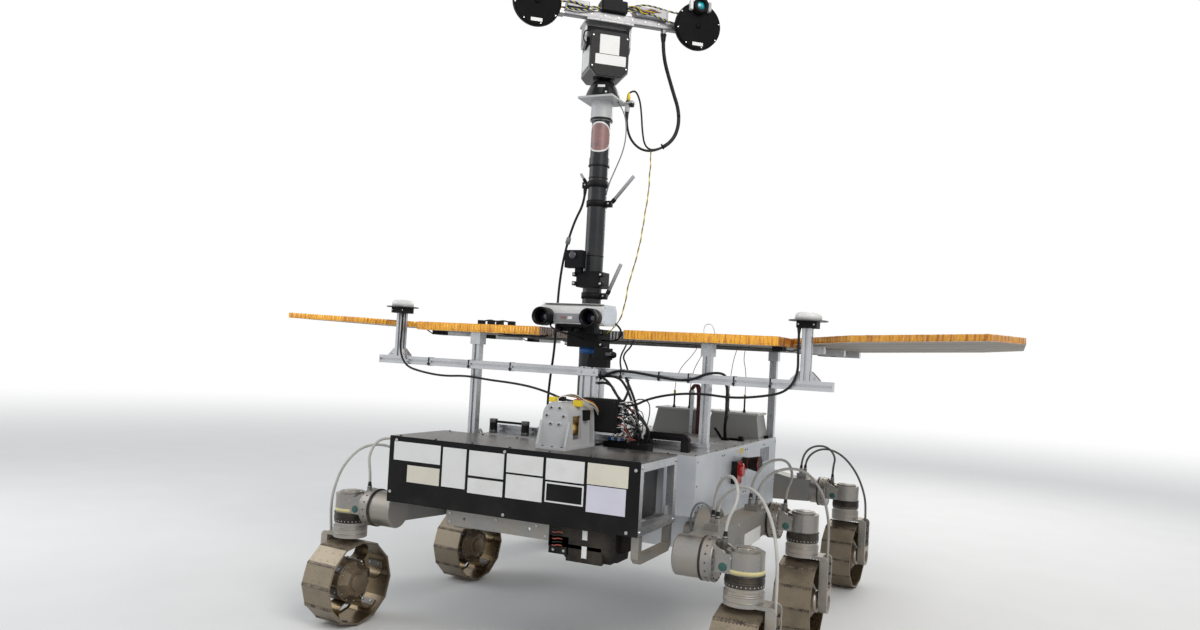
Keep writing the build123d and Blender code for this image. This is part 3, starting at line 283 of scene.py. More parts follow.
@dataclass(frozen=True)
class Finish:
    """How one kind of surface looks: its colours, its sheen, its relief and its marks."""

    name: str
    slot: str
    colour: Colour
    worn: Colour
    roughness: float
    metallic: float = 0.0
    patch_scale: float = 12
    patch: float = 0.5
    grain: Grain = Grain.SMOOTH
    depth: float = 0.0001
    dust: float = 0.2
    coat: float = 0.0
    specular: float = 0.5

    def like(self, name: str, colour: Colour, worn: Colour, **changes: object) -> "Finish":
        """Return a finish of the same kind in other colours and with a few changes."""
        return replace(self, name=name, colour=colour, worn=worn, **changes)

    def relief(self, graph: Graph) -> Socket:
        """Return the height of the finish's grain.

        Args:
            graph: the material's tree.

        Returns:
            The height.
        """
        match self.grain:
            case Grain.BRUSHED:
                return graph.noise(60.0, 3.0, (1.0, 1.0, 22.0)) * 0.5 + graph.noise(900.0, 2.0) * 0.5
            case Grain.CAST:
                return graph.noise(420.0, 3.0)
            case Grain.CRUMPLED:
                return graph.noise(26.0, 5.0) + graph.cells(34.0) * 0.8
            case Grain.BRAIDED:
                return graph.cells(520.0) * 0.7 + graph.noise(260.0, 2.0) * 0.4
            case _:
                return graph.noise(90.0, 5.0) * 0.7 + graph.noise(800.0, 1.0) * 0.3

    def paint(self, graph: Graph) -> bpy.types.Material:
        """Return the material with its patches, specks and dust.

        Args:
            graph: the material's empty tree.

        Returns:
            The material.
        """
        _, _, height = graph.axes(graph.place())
        _, _, up = graph.facing()
        patches = graph.noise(self.patch_scale, 7.0)
        fine = graph.noise(self.patch_scale * 14.0, 5.0)
        smudge = graph.ramp(patches, 0.44, 0.7)
        specks = graph.ramp(fine, 0.6, 0.72)
        colour = graph.mix(smudge * self.patch, self.colour, self.worn)
        colour = graph.mix(specks * (self.patch * 0.2), colour, self.worn)
        low = 1.0 - graph.ramp(height, *DUST_BAND)
        settled = graph.ramp(up, 0.2, 0.95)
        dust = (low * 0.75 + settled * 0.35) * graph.ramp(patches + fine * 0.4, 0.45, 0.95) * self.dust
        colour = graph.mix(dust, colour, DUST_COLOUR)
        roughness = self.roughness + (fine - 0.5) * 0.22 + dust * 0.4
        metallic = self.metallic - dust * self.metallic
        return graph.shade(
            {"Base Color": colour, "Roughness": roughness, "Metallic": metallic},
            {"Coat Weight": self.coat, "Specular IOR Level": self.specular}, self.relief(graph), self.depth
        )

    def build(self) -> bpy.types.Material:
        """Return the material, made once for each finish; no finish is named like a slot of the CAD."""
        return bpy.data.materials.get(self.name) or self.paint(Graph(bpy.data.materials.new(self.name)))


@dataclass(frozen=True)
class CellFinish(Finish):
    """Rows of dark solar cells on top, film with painted shade in its creases on the edges and a dull sheet
    below.
    """

    under: Colour = (0.3, 0.265, 0.225)
    under_dark: Colour = (0.2, 0.175, 0.15)
    film: Colour = (0.8, 0.34, 0.02)
    # painted shade: the film's darker colour, for the shade in its creases
    film_dark: Colour = (0.34, 0.1, 0.01)
    grid: Colour = (0.52, 0.44, 0.34)
    finger: Colour = (0.3, 0.31, 0.34)
    cell_x: float = 0.078
    cell_y: float = 0.041
    gap_x: float = 0.0025
    gap_y: float = 0.0018
    finger_pitch: float = 0.0041
    finger_gap: float = 0.0005
    # added to each place, so that the rows are counted from outside the array
    outside: float = 8.0
    # how upright the normal of the top and the underside is at least
    upright: float = 0.7

    def paint(self, graph: Graph) -> bpy.types.Material:
        """Return the material.

        Args:
            graph: the material's empty tree.

        Returns:
            The material.
        """
        across, along, _ = graph.axes(graph.place())
        _, _, up = graph.facing()
        column = (across + self.outside).wrapped(self.cell_x)
        row = (along + self.outside).wrapped(self.cell_y)
        inside = column.above(self.gap_x) * row.above(self.gap_y)
        between = (along + self.outside).wrapped(self.finger_pitch).above(self.finger_gap)
        patches = graph.noise(self.patch_scale, 6.0)
        streaks = graph.noise(3.0, 6.0, (0.6, 5.0, 1.0))
        # painted shade: darker film in noise creases stands for the shade between the film's pleats
        painted_fold_shading = graph.ramp(graph.noise(30.0, 5.0), 0.4, 0.62)
        cell = graph.mix(patches, self.colour, self.worn)
        cell = graph.mix(1.0 - between, cell, self.finger)
        top = graph.mix(inside, self.grid, cell)
        under = graph.mix(graph.ramp(streaks, 0.38, 0.62), self.under, self.under_dark)
        film = graph.mix(painted_fold_shading, self.film_dark, self.film)
        upward = up.above(self.upright)
        downward = (up * -1.0).above(self.upright)
        colour = graph.mix(upward, film, top)
        colour = graph.mix(downward, colour, under)
        edge = (1.0 - upward) * (1.0 - downward)
        relief = graph.noise(30.0, 5.0) * edge + inside * 0.06 + patches * 0.05
        roughness = self.roughness + downward * 0.3 - upward * 0.08 + (patches - 0.5) * 0.1
        return graph.shade(
            {"Base Color": colour, "Roughness": roughness, "Metallic": edge * 0.25},
            {"Coat Weight": self.coat, "Specular IOR Level": self.specular}, relief, self.depth
        )


@dataclass(frozen=True)
class FilmFinish(Finish):
    """Thin shiny film, with painted shade in its creases."""

    def paint(self, graph: Graph) -> bpy.types.Material:
        """Return the material.

        Args:
            graph: the material's empty tree.

        Returns:
            The material.
        """
        # painted shade: dark streaks of the worn colour stand for the shade in the film's creases; the worn
        # colour also paints the stains
        painted_fold_shading = graph.ramp(graph.noise(self.patch_scale, 4.0, (1.0, 1.0, 0.1)), 0.34, 0.56)
        stain = graph.ramp(graph.noise(6.0, 4.0), 0.48, 0.72)
        colour = graph.mix(painted_fold_shading, self.worn, self.colour)
        colour = graph.mix(stain * self.patch, colour, self.worn)
        roughness = self.roughness + (1.0 - painted_fold_shading) * 0.2
        return graph.shade(
            {"Base Color": colour, "Roughness": roughness},
            {"Coat Weight": self.coat, "Metallic": self.metallic}, self.relief(graph), self.depth
        )


@dataclass(frozen=True)
class LensFinish(Finish):
    """Coated glass of a lens."""

    def paint(self, graph: Graph) -> bpy.types.Material:
        """Return the material.

        Args:
            graph: the material's empty tree.

        Returns:
            The material.
        """
        swirl = graph.ramp(graph.noise(55.0, 2.0), 0.35, 0.65)
        colour = graph.mix(swirl, self.colour, self.worn)
        return graph.shade(
            {"Base Color": colour, "Roughness": self.roughness + swirl * 0.03},
            {"Coat Weight": 1.0, "Metallic": self.metallic}, graph.noise(12.0, 1.0), self.depth
        )


SILVER = Finish(
    "silver_skin", "silver_sheet", (0.58, 0.61, 0.65), (0.45, 0.48, 0.53), 0.4, 0.35, 5, depth=0.0004,
    dust=0.45
)
LID = Finish(
    "silver_lid", "silver_sheet", (0.58, 0.59, 0.61), (0.42, 0.43, 0.45), 0.42, 0.3, 6, depth=0.0004,
    dust=0.5
)
BLACK = Finish(
    "black_anodising", "anodised_black", (0.006, 0.006, 0.007), (0.018, 0.018, 0.019), 0.5, grain=Grain.CAST,
    specular=0.12
)
DISC_BLACK = BLACK.like(
    "disc_black", (0.003, 0.003, 0.004), (0.009, 0.009, 0.01), roughness=0.55, patch_scale=9, dust=0.05,
    specular=0.06
)
PANEL_BLACK = BLACK.like(
    "panel_black", (0.005, 0.005, 0.006), (0.014, 0.014, 0.014), roughness=0.34, patch_scale=9,
    grain=Grain.SMOOTH, dust=0.05, specular=0.14
)
RING_BLACK = Finish(
    "ring_black", "anodised_black", (0.01, 0.009, 0.009), (0.035, 0.028, 0.024), 0.38, 0.15, 16, 0.5,
    Grain.CAST, dust=0.25, specular=0.25
)
TUBE_BLACK = Finish(
    "mast_black", "anodised_black", (0.018, 0.019, 0.021), (0.04, 0.041, 0.044), 0.3, 0.1, 10, 0.5,
    Grain.CAST, dust=0.08, coat=0.08, specular=0.25
)
MACHINED = Finish(
    "machined_aluminium", "bare_aluminium", (0.26, 0.256, 0.248), (0.185, 0.18, 0.17), 0.3, 0.9, 14, 0.35,
    Grain.BRUSHED, 0.00012, 0.7
)
LEG_METAL = Finish(
    "leg_aluminium", "bare_aluminium", (0.28, 0.28, 0.272), (0.19, 0.186, 0.175), 0.34, 0.7, 10, 0.4,
    Grain.BRUSHED, 0.00012, 0.9
)
BEAM_METAL = Finish(
    "beam_aluminium", "bare_aluminium", (0.22, 0.225, 0.22), (0.14, 0.14, 0.135), 0.42, 0.55, 9, 0.5,
    Grain.CAST, 0.00015, 0.8
)
PROFILE_METAL = Finish(
    "profile_aluminium", "bare_aluminium", (0.52, 0.53, 0.55), (0.36, 0.37, 0.39), 0.3, 0.8, 11, 0.4,
    Grain.BRUSHED, dust=0.15
)
PLATE_METAL = Finish(
    "plate_aluminium", "bare_aluminium", (0.26, 0.26, 0.27), (0.17, 0.17, 0.175), 0.38, 0.5, 8, 0.5,
    Grain.BRUSHED, 0.00015, 0.4
)
DARK_METAL = Finish(
    "dark_plate", "dark_aluminium", (0.07, 0.069, 0.068), (0.13, 0.125, 0.12), 0.3, 0.45, 6, 0.7,
    depth=0.0002, dust=0.3
)
# painted shade: near-black for the wall and floor plate inside the front box, which stand in the box's shade
WALL_SHADE_DARK = Finish(
    "wall_grey", "dark_aluminium", (0.022, 0.022, 0.024), (0.04, 0.04, 0.042), 0.34, 0.2, 6, 0.6,
    depth=0.0002, specular=0.3
)
WHITE = Finish(
    "white_lacquer", "white_paint", (0.76, 0.76, 0.75), (0.6, 0.59, 0.57), 0.36, 0, 10, 0.4, depth=0.0002,
    dust=0.25
)
BLUISH = Finish(
    "bluish_white_paint", "white_paint", (0.6, 0.66, 0.72), (0.5, 0.55, 0.6), 0.3, patch=0.4, dust=0.1
)
GREY = Finish(
    "grey_lacquer", "grey_paint", (0.36, 0.37, 0.39), (0.25, 0.26, 0.27), 0.42, patch=0.45, depth=0.0002
)
PALE_GREY = Finish(
    "pale_grey_paint", "grey_paint", (0.46, 0.465, 0.47), (0.34, 0.345, 0.35), 0.4, patch=0.4, depth=0.0002,
    dust=0.3
)
BOX_GREY = Finish(
    "box_grey_paint", "grey_paint", (0.42, 0.42, 0.405), (0.34, 0.335, 0.32), 0.46, 0, 5, 0.4, depth=0.0002,
    dust=0.5
)
RED = Finish(
    "red_moulding", "red_plastic", (0.6, 0.02, 0.02), (0.36, 0.01, 0.01), 0.28, 0, 20, dust=0.15, coat=0.3
)
GOLD = Finish(
    "gold_anodising", "motor_gold", (0.62, 0.42, 0.15), (0.4, 0.25, 0.09), 0.35, 0.8, 18, 0.5, Grain.BRUSHED
)
RIM = Finish(
    "rim_bronze", "bronze_rim", (0.21, 0.177, 0.128), (0.11, 0.088, 0.06), 0.32, 0.8, 12, 0.5, Grain.BRUSHED,
    dust=0.45
)
# painted shade: a darker copy of the rim's bronze, for the rim's inside and the springs
RIM_INNER_SHADE = Finish(
    "rim_inside", "bronze_rim", (0.15, 0.108, 0.056), (0.05, 0.034, 0.018), 0.28, 0.9, 9, 0.8, Grain.BRUSHED
)
HUB_BRONZE = Finish(
    "hub_bronze", "bronze_rim", (0.115, 0.082, 0.045), (0.06, 0.043, 0.026), 0.34, 0.6, 14, 0.6, Grain.CAST,
    dust=0.35
)
GROUSER = Finish(
    "grouser_steel", "anodised_black", (0.05, 0.042, 0.035), (0.16, 0.13, 0.1), 0.48, 0.6, 40, 0.6,
    Grain.CAST, 0.0002, 0.4
)
SLEEVE = Finish(
    "pale_sleeve", "cable_sheath", (0.46, 0.455, 0.43), (0.33, 0.325, 0.3), 0.55, 0, 30, 0.5, Grain.BRAIDED,
    0.0005, 0.25
)
MID_SLEEVE = SLEEVE.like("grey_sleeve", (0.34, 0.335, 0.315), (0.24, 0.235, 0.22))
DARK_SLEEVE = SLEEVE.like("dark_sleeve", (0.1, 0.1, 0.1), (0.17, 0.165, 0.16), roughness=0.5)
CABLE = Finish(
    "black_cable", "cable_sheath", (0.007, 0.007, 0.008), (0.022, 0.022, 0.022), 0.4, 0, 30, 0.4, dust=0.05,
    specular=0.25
)
GREY_CABLE = Finish(
    "grey_cable", "cable_sheath", (0.16, 0.175, 0.19), (0.11, 0.115, 0.12), 0.45, 0, 30, 0.4, dust=0.1
)
WHITE_CABLE = GREY_CABLE.like("white_cable", (0.62, 0.61, 0.58), (0.48, 0.47, 0.45))
RED_CABLE = GREY_CABLE.like("red_brown_cable", (0.32, 0.06, 0.04), (0.2, 0.04, 0.03))
BLUE = GREY_CABLE.like(
    "blue_plastic", (0.02, 0.13, 0.42), (0.02, 0.08, 0.28), slot="red_plastic", roughness=0.4
)
YELLOW = GREY_CABLE.like(
    "yellow_plastic", (0.8, 0.6, 0.03), (0.55, 0.4, 0.02), slot="motor_gold", roughness=0.4
)
TAPE = Finish(
    "pale_tape", "white_paint", (0.62, 0.55, 0.27), (0.5, 0.43, 0.22), 0.55, 0, 30, 0.5, Grain.CRUMPLED,
    0.0002, 0.3
)
STICKER = Finish(
    "white_sticker", "white_paint", (0.7, 0.7, 0.69), (0.58, 0.58, 0.56), 0.34, 0, 16, 0.35, dust=0.1
)
CREAM = STICKER.like("cream_sticker", (0.66, 0.63, 0.53), (0.56, 0.53, 0.44), roughness=0.36)
LILAC = CREAM.like("lilac_sticker", (0.62, 0.61, 0.7), (0.52, 0.51, 0.6))
ROSE = Finish(
    "rose_sticker", "red_plastic", (0.26, 0.14, 0.13), (0.14, 0.1, 0.12), 0.38, 0, 40, 0.7, dust=0.1
)
STRAP = Finish(
    "maroon_strap", "red_plastic", (0.15, 0.035, 0.035), (0.09, 0.03, 0.03), 0.7, 0, 40, 0.6, Grain.BRAIDED,
    0.0004
)
TEAL = Finish(
    "teal_disc", "anodised_black", (0.012, 0.085, 0.075), (0.02, 0.06, 0.055), 0.35, 0, 25, 0.4, dust=0.1
)
STEEL = Finish(
    "screw_steel", "bare_aluminium", (0.5, 0.5, 0.5), (0.3, 0.3, 0.3), 0.28, 0.9, 60, 0.4, Grain.CAST
)
DARK_STEEL = Finish(
    "dark_screw_steel", "anodised_black", (0.06, 0.06, 0.06), (0.14, 0.13, 0.12), 0.35, 0.8, 60, 0.4,
    Grain.CAST
)
# painted shade: the worn colour of both films paints the shade in their creases as well as their stains
FILM = FilmFinish(
    "amber_film", "array_foil", (0.9, 0.43, 0.02), (0.52, 0.18, 0.01), 0.24, 0.3, 130, 0.35, Grain.CRUMPLED,
    0.0015, coat=0.5
)
DULL_FILM = FILM.like(
    "dull_amber_film", (0.62, 0.28, 0.02), (0.3, 0.1, 0.01), roughness=0.28, patch=0.4, coat=0.4
)
CELLS = CellFinish(
    "array_cells", "array_foil", (0.008, 0.013, 0.038), (0.022, 0.024, 0.05), 0.36, 0, 5, depth=0.003,
    coat=0.05, specular=0.25
)
LENS = LensFinish("coated_lens", "anodised_black", (0, 0.22, 0.28), (0, 0.62, 0.68), 0.05, depth=0.0003)
DARK_LENS = LENS.like("dark_lens", (0.005, 0.006, 0.01), (0.02, 0.015, 0.05))

NODE_FINISHES: dict[str, Finish] = {
    "actuator_bracket": PALE_GREY, "actuator_motor": GOLD, "array_centre": CELLS,
    "array_hinges": PROFILE_METAL, "array_supports": PROFILE_METAL, "array_wings": CELLS, "body_lid": LID,
    "body_shell": SILVER, "bogie_beam_left": BEAM_METAL, "bogie_beam_rear": BEAM_METAL,
    "bogie_beam_right": BEAM_METAL, "bogie_pivots": BEAM_METAL, "cable_terminals": MACHINED,
    "carry_handles": BLACK, "chassis_tub": SILVER, "cross_beam": PROFILE_METAL, "drive_drums": MACHINED,
    "emergency_buttons": BLACK, "filter_discs": DISC_BLACK, "front_box_core": BLACK,
    "front_box_frame": PROFILE_METAL, "front_panel": PANEL_BLACK, "front_top_plate": DARK_METAL,
    # painted shade: front_under_gear takes the darker beam finish for the shade under the front box
    "front_under_gear": BEAM_METAL, "head_cameras": GREY, "head_frame": PLATE_METAL, "mast_clamps": BLACK,
    "mast_collar": PALE_GREY, "mast_electronics": BLACK, "mast_post": PROFILE_METAL, "mast_tube": TUBE_BLACK,
    "pan_housing": TUBE_BLACK, "pan_pedestal": TUBE_BLACK, "radio_boxes": BOX_GREY,
    "steering_arms": MACHINED, "steering_housings": MACHINED, "steering_rings": RING_BLACK,
    "stereo_camera": WHITE, "stick_antennas": GREY, "under_instrument": BLACK,
}
LEG_NODE = "steering_leg_"
TRACK_HALF = 712

# turns that let local Z point along an axis
PLUS_X = Matrix.Rotation(math.pi / 2, 4, "Y")
MINUS_X = Matrix.Rotation(-math.pi / 2, 4, "Y")
PLUS_Y = Matrix.Rotation(-math.pi / 2, 4, "X")
MINUS_Y = Matrix.Rotation(math.pi / 2, 4, "X")


def turn_z(degrees: float) -> Matrix:
    """Return a turn about the vertical."""
    return Matrix.Rotation(math.radians(degrees), 4, "Z")


def metres(place: Point | Vector) -> Point:
    """Return a place in metres, as the frame's calls take it."""
    return tuple(value * MM for value in place)


def at(x: float, y: float, z: float) -> Matrix:
    """Return a move to a place."""
    return Matrix.Translation((x, y, z))


def sideways(side: int) -> Matrix:
    """Return the turn that lets local Z point out of the rover's left (1) or right (-1) side."""
    return PLUS_X if side > 0 else MINUS_X


def rounded_outline(width: float, length: float, corner: float, steps: int = 4) -> list[Pair]:
    """Return a rectangle's outline with round corners.

    Args:
        width: its size in X.
        length: its size in Y.
        corner: the corners' radius.
        steps: how many points each corner has beyond its first.

    Returns:
        The points, anticlockwise.
    """
    x, y = width / 2, length / 2
    if corner <= 0:
        return [(-x, -y), (x, -y), (x, y), (-x, y)]
    points = []
    for cx, cy, start in ((x, -y, -90), (x, y, 0), (-x, y, 90), (-x, -y, 180)):
        centre = (cx - math.copysign(corner, cx), cy - math.copysign(corner, cy))
        for k in range(steps + 1):
            a = math.radians(start + 90 * k / steps)
            points.append((centre[0] + corner * math.cos(a), centre[1] + corner * math.sin(a)))
    return points


def spline_path(points: list[Point]) -> list[Vector]:
    """Return points on the smooth spline that has the given control points.

    Args:
        points: the control points; the spline starts and ends on the first and the last.

    Returns:
        The spline's points.
    """
    route = bpy.data.curves.new("route", "CURVE")
    route.dimensions = "3D"
    route.resolution_u = 10
    spline = route.splines.new("NURBS")
    spline.points.add(len(points) - 1)
    for target, point in zip(spline.points, points):
        target.co = (*point, 1)
    spline.order_u = 3
    spline.use_endpoint_u = True
    holder = bpy.data.objects.new("route", route)
    line = bpy.data.meshes.new_from_object(holder)
    path = [vertex.co.copy() for vertex in line.vertices]
    bpy.data.objects.remove(holder)
    bpy.data.curves.remove(route)
    bpy.data.meshes.remove(line)
    return path


def evenly(path: list[Vector], step: float) -> list[Vector]:
    """Return points on a path at even distances.

    Args:
        path: the path's points.
        step: about how far the new points are apart.

    Returns:
        The new points, with the path's own ends.
    """
    lengths = [0]
    for a, b in zip(path, path[1:]):
        lengths.append(lengths[-1] + (b - a).length)
    count = max(2, round(lengths[-1] / step))
    points = []
    k = 0
    for j in range(count + 1):
        wanted = lengths[-1] * j / count
        while k < len(path) - 2 and lengths[k + 1] < wanted:
            k += 1
        share = (wanted - lengths[k]) / max(lengths[k + 1] - lengths[k], 1e-9)
        points.append(path[k].lerp(path[k + 1], min(share, 1)))
    return points


def path_frames(path: list[Vector]) -> list[Matrix]:
    """Return a frame at each point of a path, with its Z along the path and no twist.

    Args:
        path: the path's points.

    Returns:
        The frames.
    """
    frames = []
    side = None
    for k, point in enumerate(path):
        ahead = (path[min(k + 1, len(path) - 1)] - path[max(k - 1, 0)]).normalized()
        side = ahead.orthogonal() if side is None else side - ahead * side.dot(ahead)
        side.normalize()
        turn = Matrix((side, ahead.cross(side), ahead)).transposed().to_4x4()
        frames.append(Matrix.Translation(point) @ turn)
    return frames


def tube_rings(path: list[Vector], radius: float, sides: int) -> list[list[Vector]]:
    """Return rings of points round a path, one for each of its points.

    Args:
        path: the path's points.
        radius: the rings' radius.
        sides: how many points a ring has.

    Returns:
        The rings.
    """
    around = [2 * math.pi * j / sides for j in range(sides)]
    return [[frame @ Vector((radius * math.cos(a), radius * math.sin(a), 0)) for a in around]
            for frame in path_frames(path)]


@dataclass
class Form:
    """One piece: its faces are collected here, each with its finish, in the rover's frame."""

    name: str
    mesh: bmesh.types.BMesh = field(default_factory=bmesh.new, init=False, repr=False)
    finishes: list[Finish] = field(default_factory=list, init=False)

    def skin(self, rings: list[list[Vector]], finish: Finish, closed: bool = True, caps: bool = True,
             smooth: bool = True) -> None:
        """Join rings of points by faces.

        Args:
            rings: the rings, each with the same number of points.
            finish: the faces' finish.
            closed: whether each ring closes on itself.
            caps: whether the first and last ring are filled.
            smooth: whether the faces are shaded smooth.
        """
        if finish not in self.finishes:
            self.finishes.append(finish)
        index = self.finishes.index(finish)
        rows = [[self.mesh.verts.new(point * MM) for point in ring] for ring in rings]
        count = len(rings[0])
        for a, b in zip(rows, rows[1:]):
            for k in range(count if closed else count - 1):
                face = self.mesh.faces.new((a[k], a[(k + 1) % count], b[(k + 1) % count], b[k]))
                face.material_index = index
                face.smooth = smooth
        if caps:
            for row in (rows[0][::-1], rows[-1]):
                self.mesh.faces.new(row).material_index = index

    def prism(self, outline: list[Pair], depth: float, finish: Finish, place: Matrix,
              edge: float = 0) -> None:
        """Add an outline in the local XY plane, given a depth along local Z and small chamfers.

        Args:
            outline: the outline's points, anticlockwise.
            depth: the depth.
            finish: the finish.
            place: where the local frame stands.
            edge: the size of the chamfer round both ends.
        """
        points = [Vector((x, y, 0)) for x, y in outline]
        if edge > 0:
            inner = self._inset(points, edge)
            levels = [(inner, 0), (points, edge), (points, depth - edge), (inner, depth)]
        else:
            levels = [(points, 0), (points, depth)]
        rings = [[place @ (p + Vector((0, 0, z))) for p in level] for level, z in levels]
        self.skin(rings, finish, smooth=False)

    @staticmethod
    def _inset(points: list[Vector], edge: float) -> list[Vector]:
        """Return an outline moved inwards.

        Args:
            points: the outline.
            edge: how far it is moved.

        Returns:
            The moved outline.
        """
        moved = []
        for k, point in enumerate(points):
            before = (point - points[k - 1]).normalized()
            after = (points[(k + 1) % len(points)] - point).normalized()
            inward = Vector((-before.y - after.y, before.x + after.x, 0))
            reach = edge / max(inward.length / 2, 0.35)
            moved.append(point + inward.normalized() * reach)
        return moved

    def block(self, size: Point, finish: Finish, place: Matrix, edge: float = 1, corner: float = 0) -> None:
        """Add a block centred on the local origin in X and Y that stands on its XY plane.

        Args:
            size: its width, length and height.
            finish: the finish.
            place: where the local frame stands.
            edge: the chamfer at the top and bottom.
            corner: the radius of the upright corners.
        """
        self.prism(rounded_outline(size[0], size[1], corner), size[2], finish, place, edge)

    def blocks(self, rows: list[tuple[Point, Point, Finish]], edge: float = 1, corner: float = 0) -> None:
        """Add upright blocks, each given by its size, the middle of its underside and its finish."""
        for size, place, finish in rows:
            self.block(size, finish, at(*place), edge, corner)

    def lathe(self, profile: list[Pair], finish: Finish, place: Matrix, steps: int = 32, caps: bool = False,
              smooth: bool = True) -> None:
        """Add a turned form round the local Z axis.

        Args:
            profile: radius and height of each step, from the first end to the last.
            finish: the finish.
            place: where the local frame stands.
            steps: how many sides it has.
            caps: whether both ends are filled.
            smooth: whether it is shaded smooth round the axis.
        """
        around = [2 * math.pi * k / steps for k in range(steps)]
        rings = [[place @ Vector((radius * math.cos(a), radius * math.sin(a), height)) for a in around]
                 for radius, height in profile]
        self.skin(rings, finish, True, caps, smooth)

    def wire(self, points: list[Point], radius: float, finish: Finish, sides: int = 8) -> list[Vector]:
        """Add a round wire along a smooth spline.

        Args:
            points: the spline's control points.
            radius: the wire's radius.
            finish: the finish.
            sides: how many sides its section has.

        Returns:
            The spline's points.
        """
        path = spline_path(points)
        self.skin(tube_rings(path, radius, sides), finish)
        return path

    def twist(self, points: list[Point], radius: float, finishes: tuple[Finish, ...], pitch: float) -> None:
        """Add wires twisted round each other along a smooth spline.

        Args:
            points: the spline's control points.
            radius: the radius of each wire.
            finishes: the finish of each wire.
            pitch: the length of a full turn.
        """
        frames = path_frames(evenly(spline_path(points), pitch / 8))
        for n, finish in enumerate(finishes):
            strand = []
            for k, frame in enumerate(frames):
                a = math.pi * k / 4 + 2 * math.pi * n / len(finishes)
                strand.append(frame @ Vector((radius * math.cos(a), radius * math.sin(a), 0)))
            self.skin(tube_rings(strand, radius, 6), finish)

    def boot(self, path: list[Vector], radius: float, length: float, finish: Finish) -> None:
        """Add a tapered sleeve round the start of a cable.

        Args:
            path: the cable's points, from the end that the sleeve is on.
            radius: the cable's radius.
            length: the sleeve's length.
            finish: the finish.
        """
        gap = 2
        points = evenly(path, gap)[:max(3, round(length / gap))]
        last = len(points) - 1
        rings = []
        for k, ring in enumerate(tube_rings(points, radius, 12)):
            scale = 1.75 - 0.6 * k / last - (0.12 if k % 3 == 2 else 0)
            rings.append([points[k] + (corner - points[k]) * scale for corner in ring])
        self.skin(rings, finish, smooth=False)

    def tie(self, path: list[Vector], share: float, radius: float, finish: Finish) -> None:
        """Add a cable tie with its head round a path.

        Args:
            path: the path's points.
            share: how far along the path's points it sits, from 0 to 1.
            radius: the radius that it goes round.
            finish: the finish.
        """
        frame = path_frames(path)[round(share * (len(path) - 1))]
        self.band(radius, 3.5, 1.1, finish, frame, 14)
        self.block((5, 5, 4.5), finish, frame @ at(radius + 2.5, 0, -2.25), 0.5)

    def screw(self, radius: float, finish: Finish, place: Matrix, height: float = 0) -> None:
        """Add a socket-head screw that stands on the local XY plane.

        Args:
            radius: the head's radius.
            finish: the finish.
            place: where the local frame stands.
            height: the head's height, or 0 for a low head.
        """
        tall = height or radius * 0.7
        hole = radius * 0.5
        self.lathe([(radius, -tall * 0.3), (radius, tall * 0.75), (radius * 0.85, tall), (hole, tall),
                    (hole * 0.95, tall * 0.45), (0.2, tall * 0.45)], finish, place, 10, smooth=False)

    def screws(self, points: list[Point], radius: float, finish: Finish, spin: Matrix = Matrix()) -> None:
        """Add screws at places, all turned the same way."""
        for point in points:
            self.screw(radius, finish, at(*point) @ spin)

    def screw_ring(self, count: int, ring: float, radius: float, finish: Finish, place: Matrix,
                   start: float = 0) -> None:
        """Add screws on a circle round the local Z axis.

        Args:
            count: how many.
            ring: the circle's radius.
            radius: a head's radius.
            finish: the finish.
            place: where the local frame stands.
            start: the first one's angle in degrees.
        """
        for k in range(count):
            self.screw(radius, finish, place @ turn_z(start + 360 * k / count) @ at(ring, 0, 0))

    def band(self, radius: float, width: float, thick: float, finish: Finish, place: Matrix,
             steps: int = 28) -> None:
        """Add a thin band round the local Z axis.

        Args:
            radius: its inner radius.
            width: its width along the axis.
            thick: its thickness.
            finish: the finish.
            place: where the local frame stands.
            steps: how many sides it has.
        """
        outer = radius + thick
        self.lathe([(radius, -width / 2), (outer, -width / 2), (outer, width / 2), (radius, width / 2)],
                   finish, place, steps)

    def make(self) -> bpy.types.Object:
        """Make the object without letting it ride on anything yet.

        Returns:
            The object.
        """
        bmesh.ops.recalc_face_normals(self.mesh, faces=self.mesh.faces)
        data = bpy.data.meshes.new(self.name)
        self.mesh.to_mesh(data)
        self.mesh.free()
        for finish in self.finishes:
            data.materials.append(finish.build())
        shown = bpy.data.objects.new(self.name, data)
        bpy.context.scene.collection.objects.link(shown)
        LOG.info("%s: %d faces", self.name, len(data.polygons))
        return shown

    def mount(self, body: str, *nodes: str) -> None:
        """Make the object and let it ride on a body.

        Args:
            body: the body.
            nodes: the CAD nodes that it stands for.
        """
        shown = self.make()
        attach(shown, body)
        if nodes:
            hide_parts(*nodes)


